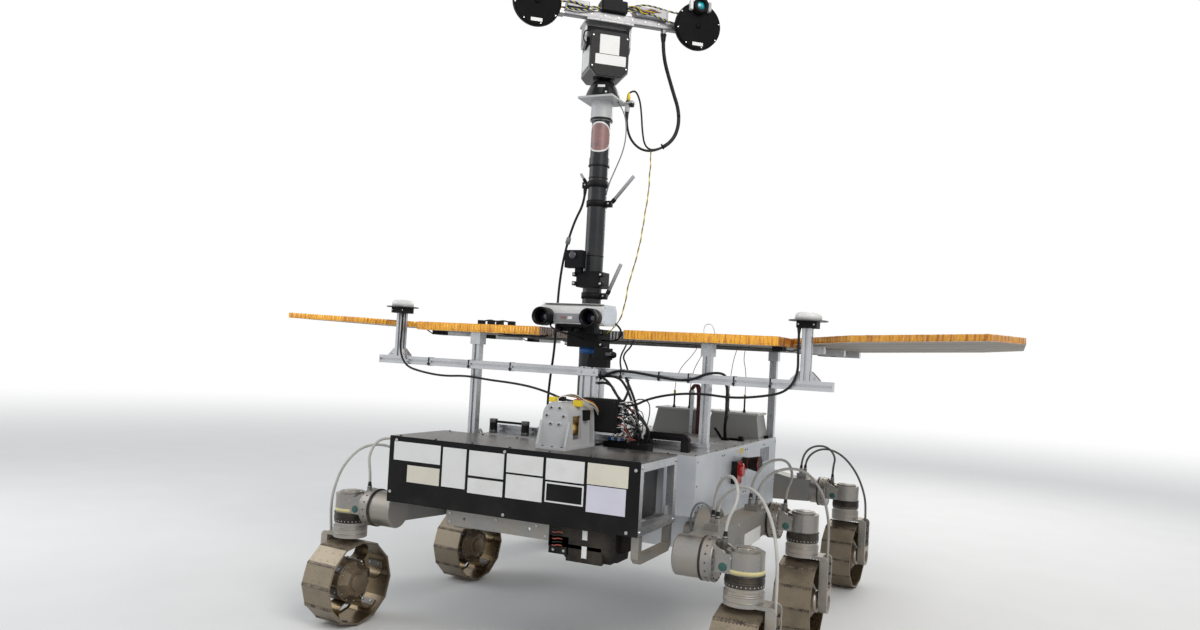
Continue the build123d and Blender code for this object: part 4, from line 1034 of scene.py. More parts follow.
class Corner(Enum):
    """The six steered wheels: side, y of the steering axis and steering angle at rest in degrees."""

    FRONT_LEFT = (1, -839, 0)
    FRONT_RIGHT = (-1, -839, -6.7)
    MID_LEFT = (1, -72, 0)
    MID_RIGHT = (-1, -72, -8.4)
    REAR_LEFT = (1, 842, -5.1)
    REAR_RIGHT = (-1, 842, 0)

    @property
    def label(self) -> str:
        """Return the corner's part of node and body names."""
        return self.name.lower()

    @property
    def side(self) -> int:
        """Return 1 on the rover's left and -1 on its right."""
        return self.value[0]

    @property
    def rear(self) -> bool:
        """Return whether the corner is on the rear bogie."""
        return self.value[1] > 500

    @property
    def lean(self) -> int:
        """Return 1 where the bogie's pivot lies behind the steering axis and -1 where it lies in front."""
        return -1 if -500 < self.value[1] < 500 else 1

    def place(self, steered: bool) -> Matrix:
        """Return where a unit modelled facing left round a steering axis at the origin stands.

        Args:
            steered: whether the unit turns with the wheel.

        Returns:
            The place.
        """
        side, y, steer = self.value
        angle = (0 if side > 0 else 180) + (steer if steered else 0)
        return at(side * TRACK_HALF, y, 0) @ turn_z(angle)

    def spot(self, out: float, along: float, z: float, steered: bool = False) -> Point:
        """Return a place given from the steering axis.

        Args:
            out: the distance outwards.
            along: the distance towards the bogie's pivot.
            z: the height.
            steered: whether the place turns with the wheel.

        Returns:
            The place on the rover.
        """
        side, y, steer = self.value
        a = math.radians(steer) if steered else 0
        dx, dy = side * out, self.lean * along
        return (side * TRACK_HALF + dx * math.cos(a) - dy * math.sin(a),
                y + dx * math.sin(a) + dy * math.cos(a), z)


@dataclass
class Wheel(Form):
    """A wheel of flat rim plates with toothed grousers, bent leaf springs and a wide hub."""

    corner: Corner
    rim: float = 145
    tip: float = 148
    width: float = 132
    wall: float = 3
    axle_z: float = 148
    plates: int = 12
    teeth: int = 12
    springs: int = 6
    hub: float = 72
    spring_width: float = 64

    @property
    def place(self) -> Matrix:
        """Return where the wheel stands, with local Z along its axle."""
        return self.corner.place(True) @ at(0, 0, self.axle_z) @ PLUS_X

    def build(self) -> None:
        """Make the wheel in place of its node."""
        self.add_rim()
        self.add_grousers()
        self.add_springs()
        self.add_hub()
        self.mount(f"drive_{self.corner.label}", f"wheel_{self.corner.label}")

    def flat(self, radius: float) -> float:
        """Return how far the middle of a plate lies from the axle where its corners lie at a radius."""
        return radius * math.cos(math.pi / self.plates)

    def add_rim(self) -> None:
        """Add the rim's plates, its inside, a bead at each edge and rivets."""
        half = self.width / 2
        inner = self.rim - self.wall
        self.lathe([(inner, -half), (self.rim, -half), (self.rim, half), (inner, half)], RIM, self.place,
                   self.plates, smooth=False)
        # painted shade: the rim's inside takes the darker copy of its bronze
        self.lathe([(inner, half), (inner, -half)], RIM_INNER_SHADE, self.place, self.plates, smooth=False)
        for end in (-1, 1):
            self.band(inner - 3.5, 5, 3.8, RIM, self.place @ at(0, 0, end * (half - 2.5)), self.plates)
        for k in range(self.plates):
            turn = self.place @ turn_z(360 * (k + 0.5) / self.plates)
            for y in (-16.5, 16.5):
                for z in (-52, -17.5, 17.5, 52):
                    self.screw(2.2, RIM, turn @ at(self.flat(self.rim) - 0.4, y, z) @ PLUS_X, 1.2)

    def add_grousers(self) -> None:
        """Add the angle bars across the rim, with square teeth along their outer edge."""
        half = self.width / 2
        pitch = self.width / self.teeth
        low, root = self.rim - 2, self.tip - 3
        outline = [(low, half), (low, -half)]
        for k in range(self.teeth):
            a = -half + k * pitch
            outline += [(root, a), (root, a + pitch * 0.25), (self.tip, a + pitch * 0.3),
                        (self.tip, a + pitch * 0.72), (root, a + pitch * 0.78)]
        outline += [(root, half)]
        upright = Matrix(((1, 0, 0, 0), (0, 0, 1, 0), (0, 1, 0, 0), (0, 0, 0, 1)))
        for k in range(self.plates):
            turn = self.place @ turn_z(360 * k / self.plates)
            self.prism(outline, 2.5, GROUSER, turn @ at(0, -1.25, 0) @ upright)
            beside = self.place @ turn_z(360 * (k + 0.5) / self.plates)
            foot = beside @ at(self.flat(self.rim) + 0.4, -34.4, -half + 1)
            self.block((2.2, 5.6, self.width - 2), GROUSER, foot, 0.4)
            for j in range(self.teeth):
                z = -half + (j + 0.5) * pitch
                self.block(
                    (2, 4.5, pitch * 0.45), GROUSER,
                    beside @ at(self.flat(self.rim) + 0.4, -29.8, z - pitch * 0.22), 0.3
                )

    def add_springs(self) -> None:
        """Add the bent leaf springs with a clamp and two screws at each end."""
        inner = self.flat(self.rim - self.wall)
        middle, radius = (self.hub + inner) / 2, (inner - self.hub) / 2 + 1.4
        half = self.spring_width / 2
        arc = [math.pi * j / 18 for j in range(19)]
        outline = [(middle + radius * math.cos(a), radius * math.sin(a)) for a in arc]
        outline += [(middle + (radius - 3) * math.cos(a), (radius - 3) * math.sin(a)) for a in arc[::-1]]
        for k in range(self.springs):
            turn = self.place @ turn_z(360 * (k + 0.25) / self.springs)
            # painted shade: the springs take the darker copy of the rim's bronze
            self.prism(outline, self.spring_width, RIM_INNER_SHADE, turn @ at(0, 0, -half))
            for x, seat, spin in ((inner - 2.5, inner - 5, MINUS_X), (self.hub + 2.5, self.hub + 5, PLUS_X)):
                self.block((5, 24, self.spring_width + 6), DARK_METAL, turn @ at(x, -4, -half - 3), 0.8)
                for z in (-20, 20):
                    self.screw(4, STEEL, turn @ at(seat, -6, z) @ spin, 3)

    def add_hub(self) -> None:
        """Add the hub: a drum, an eight-sided cone with a raised cap, and the stub that runs in the leg."""
        self.lathe([(0.2, -30.5), (70.5, -30.5), (self.hub, -29), (self.hub, 38), (40.5, 55.8), (0.2, 55.8)],
                   HUB_BRONZE, self.place, 36)
        self.lathe([(71, -30), (50, -54.8), (48, -56), (0.2, -56)], HUB_BRONZE, self.place, 8, smooth=False)
        self.lathe([(31, -55.5), (31, -59), (29.5, -60), (0.2, -60)], HUB_BRONZE, self.place, 28)
        self.lathe([(40, 55.5), (40, 66), (25, 66), (25, 96), (0.2, 96)], MACHINED, self.place, 36)
        self.lathe([(0.2, 96.4), (17, 96.4), (19, 95.5)], BLACK, self.place, 24)
        face = self.place @ Matrix.Rotation(math.pi, 4, "X")
        self.screw_ring(8, 40, 2.6, DARK_STEEL, face @ at(0, 0, 56), 22.5)
        self.screw_ring(12, 64.5, 2.4, STEEL, face @ at(0, 0, 37))
        for k in range(12):
            turn = self.place @ turn_z(30 * k + 6)
            self.screw(2.8, STEEL, turn @ at(self.hub - 0.4, 0, 26) @ PLUS_X, 2.2)


@dataclass
class SteeringUnits(Form):
    """The small parts of the six steering units that don't turn."""

    name: str = "steering_unit_trim"
    drum_z: float = 417
    flange_out: float = -82
    flange_in: float = -121
    flange_radius: float = 64
    ring_bottom: float = 356.5
    ring_top: float = 392
    ring_radius: float = 57
    cap_top: float = 462

    def build(self) -> None:
        """Make the trim of all six units."""
        for corner in Corner:
            self.add_unit(corner)
        self.mount("rover")

    def add_unit(self, corner: Corner) -> None:
        """Add one unit's gasket, screws, discs and tape.

        Args:
            corner: the wheel that it belongs to.
        """
        place = corner.place(False)
        flange = place @ at(0, 0, self.drum_z) @ PLUS_X
        self.band(self.flange_radius - 2, 7, 3, RING_BLACK, flange @ at(0, 0, self.flange_in + 1.2), 40)
        self.band(self.flange_radius - 2, 4, 2.8, MACHINED, flange @ at(0, 0, self.flange_out - 4), 40)
        self.screw_ring(20, self.flange_radius - 6, 2.8, DARK_STEEL, flange @ at(0, 0, self.flange_out))
        for k in range(16):
            turn = flange @ turn_z(22.5 * k) @ at(
                self.flange_radius - 0.3, 0, (self.flange_in + self.flange_out) / 2
            )
            self.screw(3, DARK_STEEL, turn @ PLUS_X, 1.6)
        for z, wide in ((self.ring_top - 3, 1.6), (self.ring_top - 16, 0.9), (self.ring_bottom + 13, 1.2)):
            self.band(self.ring_radius - 1, 3, wide + 1, RING_BLACK, place @ at(0, 0, z), 40)
        for k in range(28):
            turn = place @ turn_z(360 * (k + 0.5) / 28)
            self.screw(1.9, STEEL, turn @ at(self.ring_radius - 0.4, 0, self.ring_bottom + 6) @ PLUS_X)
        self.screw_ring(8, 35, 2.6, STEEL, place @ at(0, 0, self.cap_top), 22.5)
        self.lathe([(27, self.cap_top), (27, self.cap_top + 2), (25.5, self.cap_top + 3),
                    (0.2, self.cap_top + 3)], MACHINED, place)
        front, spin = (-1, MINUS_Y) if corner.side > 0 else (1, PLUS_Y)
        face = place @ at(-53, front * 46.2, 409) @ spin
        self.lathe([(12.5, 0), (12.5, 1), (11.5, 1.6), (0.2, 1.6)], TEAL, face, 28)
        for x in (-31, -75):
            self.screw(2.6, STEEL, place @ at(x, front * 46.2, 436) @ spin)
        if corner in (Corner.FRONT_LEFT, Corner.FRONT_RIGHT):
            self.band(55.2, 12, 0.6, TAPE, place @ at(0, 0, 400), 40)


@dataclass
class LegTrim(Form):
    """Screws, cable ties and bands on a steering leg."""

    corner: Corner
    outer: float = 103
    plate_top: float = 314
    axle_z: float = 148

    @property
    def place(self) -> Matrix:
        """Return where the leg stands."""
        return self.corner.place(True)

    def build(self) -> None:
        """Make the leg's trim."""
        self.screw_ring(16, 56, 1.6, STEEL, self.place @ at(0, 0, self.plate_top + 30))
        for z in (4, 20, 26):
            self.band(57.5, 3, 1.2, MACHINED, self.place @ at(0, 0, self.plate_top + z), 40)
        bore = self.place @ at(0, 0, self.axle_z) @ PLUS_X
        self.lathe([(26.2, self.outer - 1.5), (26.2, self.outer + 1), (30, self.outer + 1),
                    (31, self.outer)], MACHINED, bore, 36)
        for k in range(6):
            self.screw(2.2, STEEL, bore @ turn_z(60 * k + 30) @ at(33.5, 0, self.outer))
        for y in (-34.5, 34.5):
            for z in (205, 235, 265, 292):
                self.screw(2.2, STEEL, self.place @ at(self.outer, y, z) @ PLUS_X)
        for z in (213, 250, 284):
            self.add_tie(z)
        self.mount(f"steer_{self.corner.label}")

    def add_tie(self, z: float) -> None:
        """Add a black tie round the conduit in the leg's channel, with its head and its cut end.

        Args:
            z: the tie's height.
        """
        self.band(5, 4.5, 1.2, CABLE, self.place @ at(self.outer - 11.5, 0, z), 16)
        self.block((4, 70, 4), CABLE, self.place @ at(self.outer - 4.2, 0, z - 2), 0.6)
        self.block((5.5, 6.5, 6.5), CABLE, self.place @ at(self.outer - 2, 13, z - 3.2), 0.8)


@dataclass
class Conduits:
    """The bent conduits of the steering and drive motors, one of each at every wheel."""

    radius: float = 4.8
    swivel: float = 356
    boot: float = 24
    # out from the steering axis, along towards the bogie's pivot, and height
    side_steering: tuple[Point, ...] = (
        (-134, 148, 508), (-134, 148, 560), (-74, 116, 620), (8, 60, 622), (66, 20, 548), (90, 2, 452),
        (93, -0.5, 378), (91.5, 0, 286), (91.5, 0.5, 194.3)
    )
    rear_steering: tuple[Point, ...] = (
        (-194, 16, 508), (-194, 16, 562), (-124, 24, 616), (-36, 24, 598), (40, 14, 520), (84, 2, 420),
        (92, 0.5, 345), (91.5, 0, 268), (91.5, 0.5, 194.3)
    )
    side_drive: tuple[Point, ...] = (
        (-154, 168, 508), (-154, 168, 566), (-120, 128, 640), (-58, 60, 654), (-36, 28, 590), (-66, 10, 528),
        (-66, 10, 478)
    )
    rear_drive: tuple[Point, ...] = (
        (-206, -14, 508), (-206, -14, 566), (-166, -10, 620), (-94, -5, 628), (-54, 4, 580), (-66, 10, 528),
        (-66, 10, 478)
    )
    # where a steering conduit stops following the rover and where it follows the leg, in the same terms
    side_bend: tuple[Point, Point] = ((-60, 100, 560), (92, 0, 330))
    rear_bend: tuple[Point, Point] = ((-100, 30, 540), (92, 0, 320))

    def build(self) -> None:
        """Make a piece for each steering conduit and one for all the drive conduits."""
        drive = Form("drive_conduit_loops")
        for corner in Corner:
            self.add_steering(corner)
            rows = self.rear_drive if corner.rear else self.side_drive
            self.add_conduit(drive, [corner.spot(*row) for row in rows], self.sleeve(corner))
        drive.mount("rover", "drive_conduits")

    @staticmethod
    def sleeve(corner: Corner) -> Finish:
        """Return the sleeve's finish, which is paler the further to the front it is."""
        return DARK_SLEEVE if corner.rear else SLEEVE if corner.lean > 0 else MID_SLEEVE

    def add_conduit(self, form: Form, points: list[Point], finish: Finish) -> None:
        """Add a conduit with its ferrules and tapered ends.

        Args:
            form: the piece that it goes into.
            points: the control points of its route.
            finish: its sleeve's finish.
        """
        path = form.wire(points, self.radius, finish, 12)
        for end in (path, path[::-1]):
            form.boot(end, self.radius, self.boot, CABLE)
            frame = path_frames(end)[0]
            form.lathe([(7.8, 0), (7.8, 6), (7, 8), (4.8, 8)], MACHINED, frame, 16)

    def add_steering(self, corner: Corner) -> None:
        """Make one steering conduit, whose lower part follows the leg's steering angle at rest.

        Args:
            corner: the wheel that it belongs to.
        """
        form = Form(f"steering_conduit_{corner.label}")
        rows = self.rear_steering if corner.rear else self.side_steering
        points = [corner.spot(*row, row[2] < self.swivel) for row in rows]
        self.add_conduit(form, points, self.sleeve(corner))
        start, end = self.rear_bend if corner.rear else self.side_bend
        shown = form.make()
        metres(corner.spot(*start))
        metres(corner.spot(*end))
        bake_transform(shown)
        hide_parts("steering_conduits")


@dataclass
class HeadCables:
    """The masthead's cable, which hangs in a loop beside the mast, with its branch and loose wires."""

    thick: float = 6.8
    thin: float = 4.4
    route: tuple[Point, ...] = (
        (178.9, -359.3, 2161.7), (178.9, -359.3, 2092), (204, -322, 1985), (236, -292, 1880),
        (222, -300, 1788), (160, -345, 1736), (110, -386, 1742), (78, -420, 1800), (78, -420, 1868)
    )
    split: Point = (236, -292, 1880)
    tilt_bend: tuple[Point, Point] = ((180, -360, 2100), (210, -315, 1930))
    pan_bend: tuple[Pair, Pair] = ((232, -295), (100, -400))
    branch: tuple[Point, ...] = (
        (192, -320, 1762), (160, -344, 1740), (133, -368, 1752), (124, -377, 1806), (119, -381, 1868),
        (112, -388, 1922), (96, -404, 1956), (82, -418.5, 1936)
    )
    loose: tuple[Point, ...] = (
        (152, -353, 1746), (164, -376, 1690), (170, -398, 1640), (176, -410, 1580), (170, -420, 1500),
        (168, -440, 1400), (156, -456, 1311), (138, -462, 1240), (132, -465, 1170), (110, -466, 1095),
        (58, -466, 1056)
    )
    droop: float = 250

    def build(self) -> None:
        """Make the cable in two pieces that share a ring, the branch and the loose wires."""
        path = spline_path(list(self.route))
        fork = self.nearest(path, self.branch[0])
        rings = tube_rings(path[:fork + 2], self.thick, 14)
        cut = self.nearest(path, self.split)
        upper = Form("head_cable_upper")
        upper.skin(rings[:cut + 1], CABLE)
        upper.boot(path, self.thick, 30, CABLE)
        shown = upper.make()
        metres(self.tilt_bend[0])
        metres(self.tilt_bend[1])
        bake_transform(shown)
        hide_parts("head_cable")
        lower = Form("head_cable_lower")
        lower.skin(rings[cut:], CABLE)
        lower.skin(tube_rings(path[fork:], self.thin, 12), CABLE)
        lower.boot(path[::-1], self.thin, 30, CABLE)
        lower.wire([tuple(path[fork]), *self.branch[1:]], 3.4, CABLE, 10)
        lower.tie(path, (fork + 1) / (len(path) - 1), self.thick + 0.8, CABLE)
        height = self.split[2]
        shown = lower.make()
        metres((*self.pan_bend[0], height))
        metres((*self.pan_bend[1], height))
        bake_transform(shown)
        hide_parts("head_cable")
        self.add_loose(path)

    @staticmethod
    def nearest(path: list[Vector], point: Point) -> int:
        """Return the number of the path's point that lies nearest to a place."""
        return min(range(len(path)), key=lambda k: (path[k] - Vector(point)).length)

    def add_loose(self, path: list[Vector]) -> None:
        """Make the two twisted wires that hang from the cable down to the clamp on the mast.

        Args:
            path: the cable's points.
        """
        start = path[self.nearest(path, self.loose[0])]
        a, b = (Vector(point) for point in self.pan_bend)
        share = (start.to_2d() - a).dot(b - a) / (b - a).length_squared
        form = Form("loose_mast_wires")
        form.twist([tuple(start), *self.loose[1:]], 1.4, (YELLOW, CABLE), 70)
        shown = form.make()
        metres(start + Vector((0, 0, share * self.droop)))
        metres(start - Vector((0, 0, (1 - share) * self.droop)))
        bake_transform(shown)


@dataclass
class FrontBox(Form):
    """The front box's plates, screws, inner equipment and the gear below it."""

    name: str = "front_box_trim"
    right: float = -505
    left: float = 405
    front: float = -912
    back: float = -597
    bottom: float = 460
    top: float = 680
    # x of the centre, z of the centre, width, height and finish of each blank plate
    plates: tuple[tuple[float, float, float, float, Finish], ...] = (
        (-392, 632, 186, 62, STICKER), (-363, 560, 128, 56, CREAM), (-244, 597, 90, 128, STICKER),
        (-123, 620, 130, 80, STICKER), (-123, 548, 130, 48, STICKER), (17, 634, 130, 58, STICKER),
        (18, 562, 130, 74, STICKER), (158, 630, 131, 66, STICKER), (159, 560, 131, 62, STICKER),
        (301, 631, 134, 64, CREAM), (299, 556, 128, 80, LILAC)
    )
    black_plate: int = 8
    # x and z of the panel's screws
    panel_screws: tuple[Pair, ...] = (
        (-477, 667), (-57, 667), (391, 655), (-493, 494), (-51, 470), (370, 470)
    )

    def build(self) -> None:
        """Make the box's trim."""
        for k, (x, z, width, height, finish) in enumerate(self.plates):
            self.block((width, 1.6, height), finish, at(x, self.front - 0.6, z - height / 2), 0.3)
            if k == self.black_plate:
                self.block((width - 10, 2, height - 10), PANEL_BLACK,
                           at(x, self.front - 0.9, z - height / 2 + 5), 0.3)
        self.add_screws()
        self.add_inside()
        self.add_under()
        self.mount("rover")

    def add_screws(self) -> None:
        """Add the screws of the panel, the top plate and the frame."""
        for x, z in self.panel_screws:
            self.screw(5.2, STEEL, at(x, self.front, z) @ MINUS_Y)
        for k in range(7):
            x = self.right + 30 + k * (self.left - self.right - 60) / 6
            for y in (self.front + 18, self.back - 12):
                self.screw(4, DARK_STEEL, at(x, y, self.top))
        for side, x in ((1, self.left), (-1, self.right)):
            for y in (-895, -610):
                for z in (self.bottom + 12, self.top - 18):
                    self.screw(5, STEEL, at(x, y, z) @ sideways(side))
            for y in (-880, -625):
                self.block((2, 28, 28), PROFILE_METAL, at(x - side * 22, y, self.bottom + 27), 0.5)

    def add_inside(self) -> None:
        """Add what shows through the box's open ends: a wall and a floor plate painted near-black for the
        shade inside the box, a grey disc on the wall that paints a round highlight, and a rail.
        """
        for side, x in ((1, self.left - 65), (-1, self.right + 65)):
            # painted shade: the wall and the floor plate are near-black for the shade inside the box
            self.block((3, 296, 190), WALL_SHADE_DARK, at(x, -754.5, 481), 0.5)
            # painted highlight: a grey disc on the dark wall stands for a round highlight
            self.lathe([(11, 0), (11, 6), (8.5, 8), (0.2, 8)], GREY,
                       at(x + side * 1.4, -748, 600) @ sideways(side), 20)
            self.block((60, 290, 2.5), WALL_SHADE_DARK, at(x + side * 33, -755, 464.5), 0.5)
            self.block((20, 200, 12), PROFILE_METAL, at(x + side * 26, -755, 467), 2, 4)
            self.screws([(x + side * 1.4, y, z) for y in (-880, -630) for z in (500, 655)], 4, DARK_STEEL,
                        sideways(side))

    def add_under(self) -> None:
        """Add the tags, screws, front cover and wires of the instrument, and the drilled plate's screws."""
        front = -892
        self.blocks([
            ((120, 19, 52), (226, -882.5, 356), BLACK), ((70, 16, 56), (140, -884, 372), BLACK),
            ((17, 1.4, 28), (228, front - 0.5, 426), STICKER),
            ((17, 1.4, 36), (228, front - 0.5, 371), STICKER), ((18, 60, 60), (338, -832, 396), BLACK),
            ((30, 50, 20), (292, -845, 358), BLACK)
        ], 1, 2)
        spots = ((122, 384), (158, 384), (-262, 448), (-262, 420), (-86, 448), (60, 448), (92, 420))
        self.screws([(x, front, z) for x, z in spots], 4.2, STEEL, MINUS_Y)
        for k in range(7):
            z = 450 - 10 * k
            self.wire([(108, -886, z), (122, -894.5, z - 6), (138, -895, z + 2), (160, -888, z - 3)], 1.8,
                      RED_CABLE if k % 2 else CABLE, 6)


@dataclass
class Body(Form):
    """The body's seams, screws, vents, stickers, buttons and handles."""

    name: str = "body_trim"
    half: float = 437
    front: float = -505
    rear: float = 588
    bottom: float = 466
    top: float = 668
    handle_y: float = -408
    seams: tuple[float, ...] = (-200, 104, 380)

    def build(self) -> None:
        """Make the body's trim."""
        for side in (-1, 1):
            self.add_side(side)
        for k in range(8):
            self.block((1.2, 5.2, 60), BLACK, at(self.half + 2.2, 330 + 19 * k, 575), 0.3)
        self.block((1, 44, 22), YELLOW, at(self.half + 2.3, 36, 637), 0.2, 0.3)
        self.block((1, 20, 14), CREAM, at(self.half + 2.3, -20, 640), 0.2, 0.3)
        for y in (-460, -420):
            self.block((1.2, 12, 4), BLACK, at(self.half + 2.2, y, 492), 0.3)
        self.add_lid()
        self.add_buttons()
        self.add_handles()
        self.mount("rover")

    def add_side(self, side: int) -> None:
        """Add the cover plates of one side, which leave thin seams between them, and their screws.

        Args:
            side: 1 on the rover's left and -1 on its right.
        """
        ends = [self.front, *self.seams, self.rear]
        height = self.top - self.bottom - 10
        for a, b in zip(ends, ends[1:]):
            place = at(side * (self.half + 0.5), (a + b) / 2, self.bottom + 3)
            self.block((3, b - a - 2.2, height), SILVER, place, 0.5)
            for y in (a + 14, b - 14):
                for z in (self.bottom + 16, (self.top + self.bottom) / 2, self.top - 20):
                    self.screw(3.2, DARK_STEEL, at(side * (self.half + 1.9), y, z) @ sideways(side), 1.6)
        for k in range(9):
            x = -400 + 100 * k
            for z in (640, 490):
                self.screw(3.2, DARK_STEEL, at(x, self.rear, z) @ PLUS_Y, 1.6)

    def add_lid(self) -> None:
        """Add the lid's hatches and screws."""
        wide = 300
        for x, y, deep in ((-235, -100, 340), (190, -100, 300), (-265, 400, 220)):
            self.block((wide, deep, 2.2), LID, at(x, y, self.top - 0.4), 0.8, 12)
            for dx in (-0.5, 0, 0.5):
                for dy in (-0.5, 0.5):
                    self.screw(
                        3.4, DARK_STEEL, at(x + dx * (wide - 24), y + dy * (deep - 24), self.top + 1.6)
                    )
        for side in (-1, 1):
            for k in range(10):
                self.screw(3.4, DARK_STEEL, at(side * (self.half - 10), -480 + 115 * k, self.top))

    def add_buttons(self) -> None:
        """Add the red mushroom heads of the two emergency buttons."""
        cone = at(self.half, 58, 600) @ PLUS_X
        self.lathe([(22.5, 26), (22.2, 34), (25, 50), (32.4, 71.5), (32.2, 71.6), (0.2, 71.8)], RED, cone,
                   36)
        low = at(self.half + 26, -62, 585) @ PLUS_X
        self.lathe([(20.4, 0), (25, 8), (25, 14), (18.5, 16.5), (0.2, 17)], RED, low)
        self.block((0.6, 57, 85), RED, at(self.half + 26.2, -62, 532.5), 0.1)
        self.screws([(self.half + 26.6, y, z) for y in (-84, -40) for z in (540, 610)], 3, DARK_STEEL,
                    PLUS_X)

    def add_handles(self) -> None:
        """Add the foot screws and grips of the two carry handles."""
        for x in (224, 364):
            for dy in (-5.4, 5.4):
                self.screw(3.2, DARK_STEEL, at(x, self.handle_y + dy, self.top + 46.6))
        grip = at(224, self.handle_y, self.top + 49) @ PLUS_X
        self.lathe([(12.8, 0), (13.6, 10), (13.6, 130), (12.8, 140)], BLACK, grip, 20, True)
        for x in (-414, -274):
            self.lathe([(15.2, 0), (16, 2), (16, 10), (15.2, 12)], DARK_METAL,
                       at(x, self.handle_y, self.top), 28)
            self.lathe([(15.2, 40), (15.8, 42), (15.8, 53.5), (14, 54.5), (0.2, 54.5)], DARK_METAL,
                       at(x, self.handle_y, self.top), 28)


@dataclass
class Bogies(Form):
    """The blank plates, bolts and covers of the bogie beams."""

    name: str = "bogie_trim"
    outer: float = 587
    top: float = 470
    # the bogie's own lead, from the front terminal to the beam's inner face
    lead: tuple[Point, ...] = (
        (553, -668, 490), (553, -674, 536), (515, -680, 552), (487, -672, 520), (474, -645, 455),
        (484, -605, 422), (521, -585, 418)
    )

    def build(self) -> None:
        """Make the beams' trim."""
        for side in (-1, 1):
            self.block((1.6, 205, 48), STICKER, at(side * (self.outer + 0.6), -300, 366), 0.4, 0)
            for y in (-700, -640, -478, -196, -150):
                for z in (455, 390):
                    self.screw(4.5, STEEL, at(side * self.outer, y, z) @ sideways(side))
            for y in (-620, -520, -390, -290):
                self.screw(4, STEEL, at(side * 553, y, self.top))
        for corner in Corner:
            out, along = (-200, 0) if corner.rear else (-147, 158)
            for dx in (-18, 18):
                for dy in (-27, 27):
                    x, y, z = corner.spot(out + dx, along + dy, 492)
                    self.screw(2.2, STEEL, at(x, y, z))
        for x in (-450, -280, 280, 450):
            self.screw(4.5, STEEL, at(x, 842, self.top))
        for side in (-1, 1):
            path = self.wire([(side * x, y, z) for x, y, z in self.lead], 3.2, GREY_CABLE, 10)
            for end in (path, path[::-1]):
                self.boot(end, 3.2, 14, CABLE)
        self.mount("rover")


@dataclass
class Actuator(Form):
    """Bolts, connectors and wires of the actuator on the front box and of the electronics box behind it."""

    name: str = "actuator_trim"
    x: float = 62
    z: float = 786
    front: float = -812
    base: float = 688

    def build(self) -> None:
        """Make the trim."""
        face = at(self.x, self.front, self.z) @ MINUS_Y
        for k in range(6):
            bolt = face @ turn_z(60 * k) @ at(30, 0, 0)
            self.lathe([(7, 0), (7, 1.2), (6, 1.6), (0.2, 1.6)], STEEL, bolt, 16)
            self.screw(4.2, DARK_STEEL, bolt @ at(0, 0, 1.4))
        self.screws([(self.x + dx, y, self.base) for dx in (-34, 0, 34) for y in (-824, -636)], 3.6,
                    DARK_STEEL)
        self.lathe([(24, -150), (24, -10), (0.2, -10)], GOLD, at(self.x + 4, -806, 740) @ MINUS_Y, 24)
        self.blocks([((22, 20, 16), (40, -790, 829), YELLOW), ((18, 20, 14), (62, -770, 832), BLACK),
                     ((26, 22, 20), (100, -730, 816), YELLOW), ((14, 24, 12), (82, -700, 826), RED),
                     ((16, 30, 34), (112, -690, 770), BLACK)])
        runs = ((RED_CABLE, 0), (YELLOW, 4), (LILAC, 8), (CABLE, 12), (WHITE_CABLE, 16))
        for finish, shift in runs:
            self.wire([(46, -786, 836), (60 + shift, -770, 852 + shift / 3),
                       (88 + shift, -735, 846 + shift / 2), (112 + shift / 2, -690, 838 - shift),
                       (122, -640, 826 - shift), (120, -612, 800 - shift)], 1.6, finish, 6)
        for shift in (0, 10):
            self.wire([(10, -660, 790 - shift), (-30, -650, 796), (-66, -640, 770 + shift), (-72, -620, 730),
                       (-46, -600, 696 + shift), (-20, -590, 690), (20, -560, 700 + shift)], 2.8, CABLE)
        self.add_box()
        self.mount("rover")

    def add_box(self) -> None:
        """Add the electronics box's lid, screws and the black clamp at the post's top."""
        self.block((126, 2.4, 104), BLACK, at(120, -613.8, 733), 0.6)
        self.screws([(x, -615, z) for x in (62, 178) for z in (738, 832)], 2.6, DARK_STEEL, MINUS_Y)
        self.blocks([
            ((74, 38, 30), (82, -550, 944), BLACK), ((58, 34, 40), (96, -548, 972), BLACK),
            ((20, 50, 12), (126, -552, 986), DARK_METAL), ((30, 46, 12), (74, -520, 1004), BLACK)
        ], 1.5, 3)
        self.lathe([(0.2, 0), (11, 1), (12, 12), (8, 20), (0.2, 21)], BLACK, at(124, -550, 990) @ PLUS_X, 20)


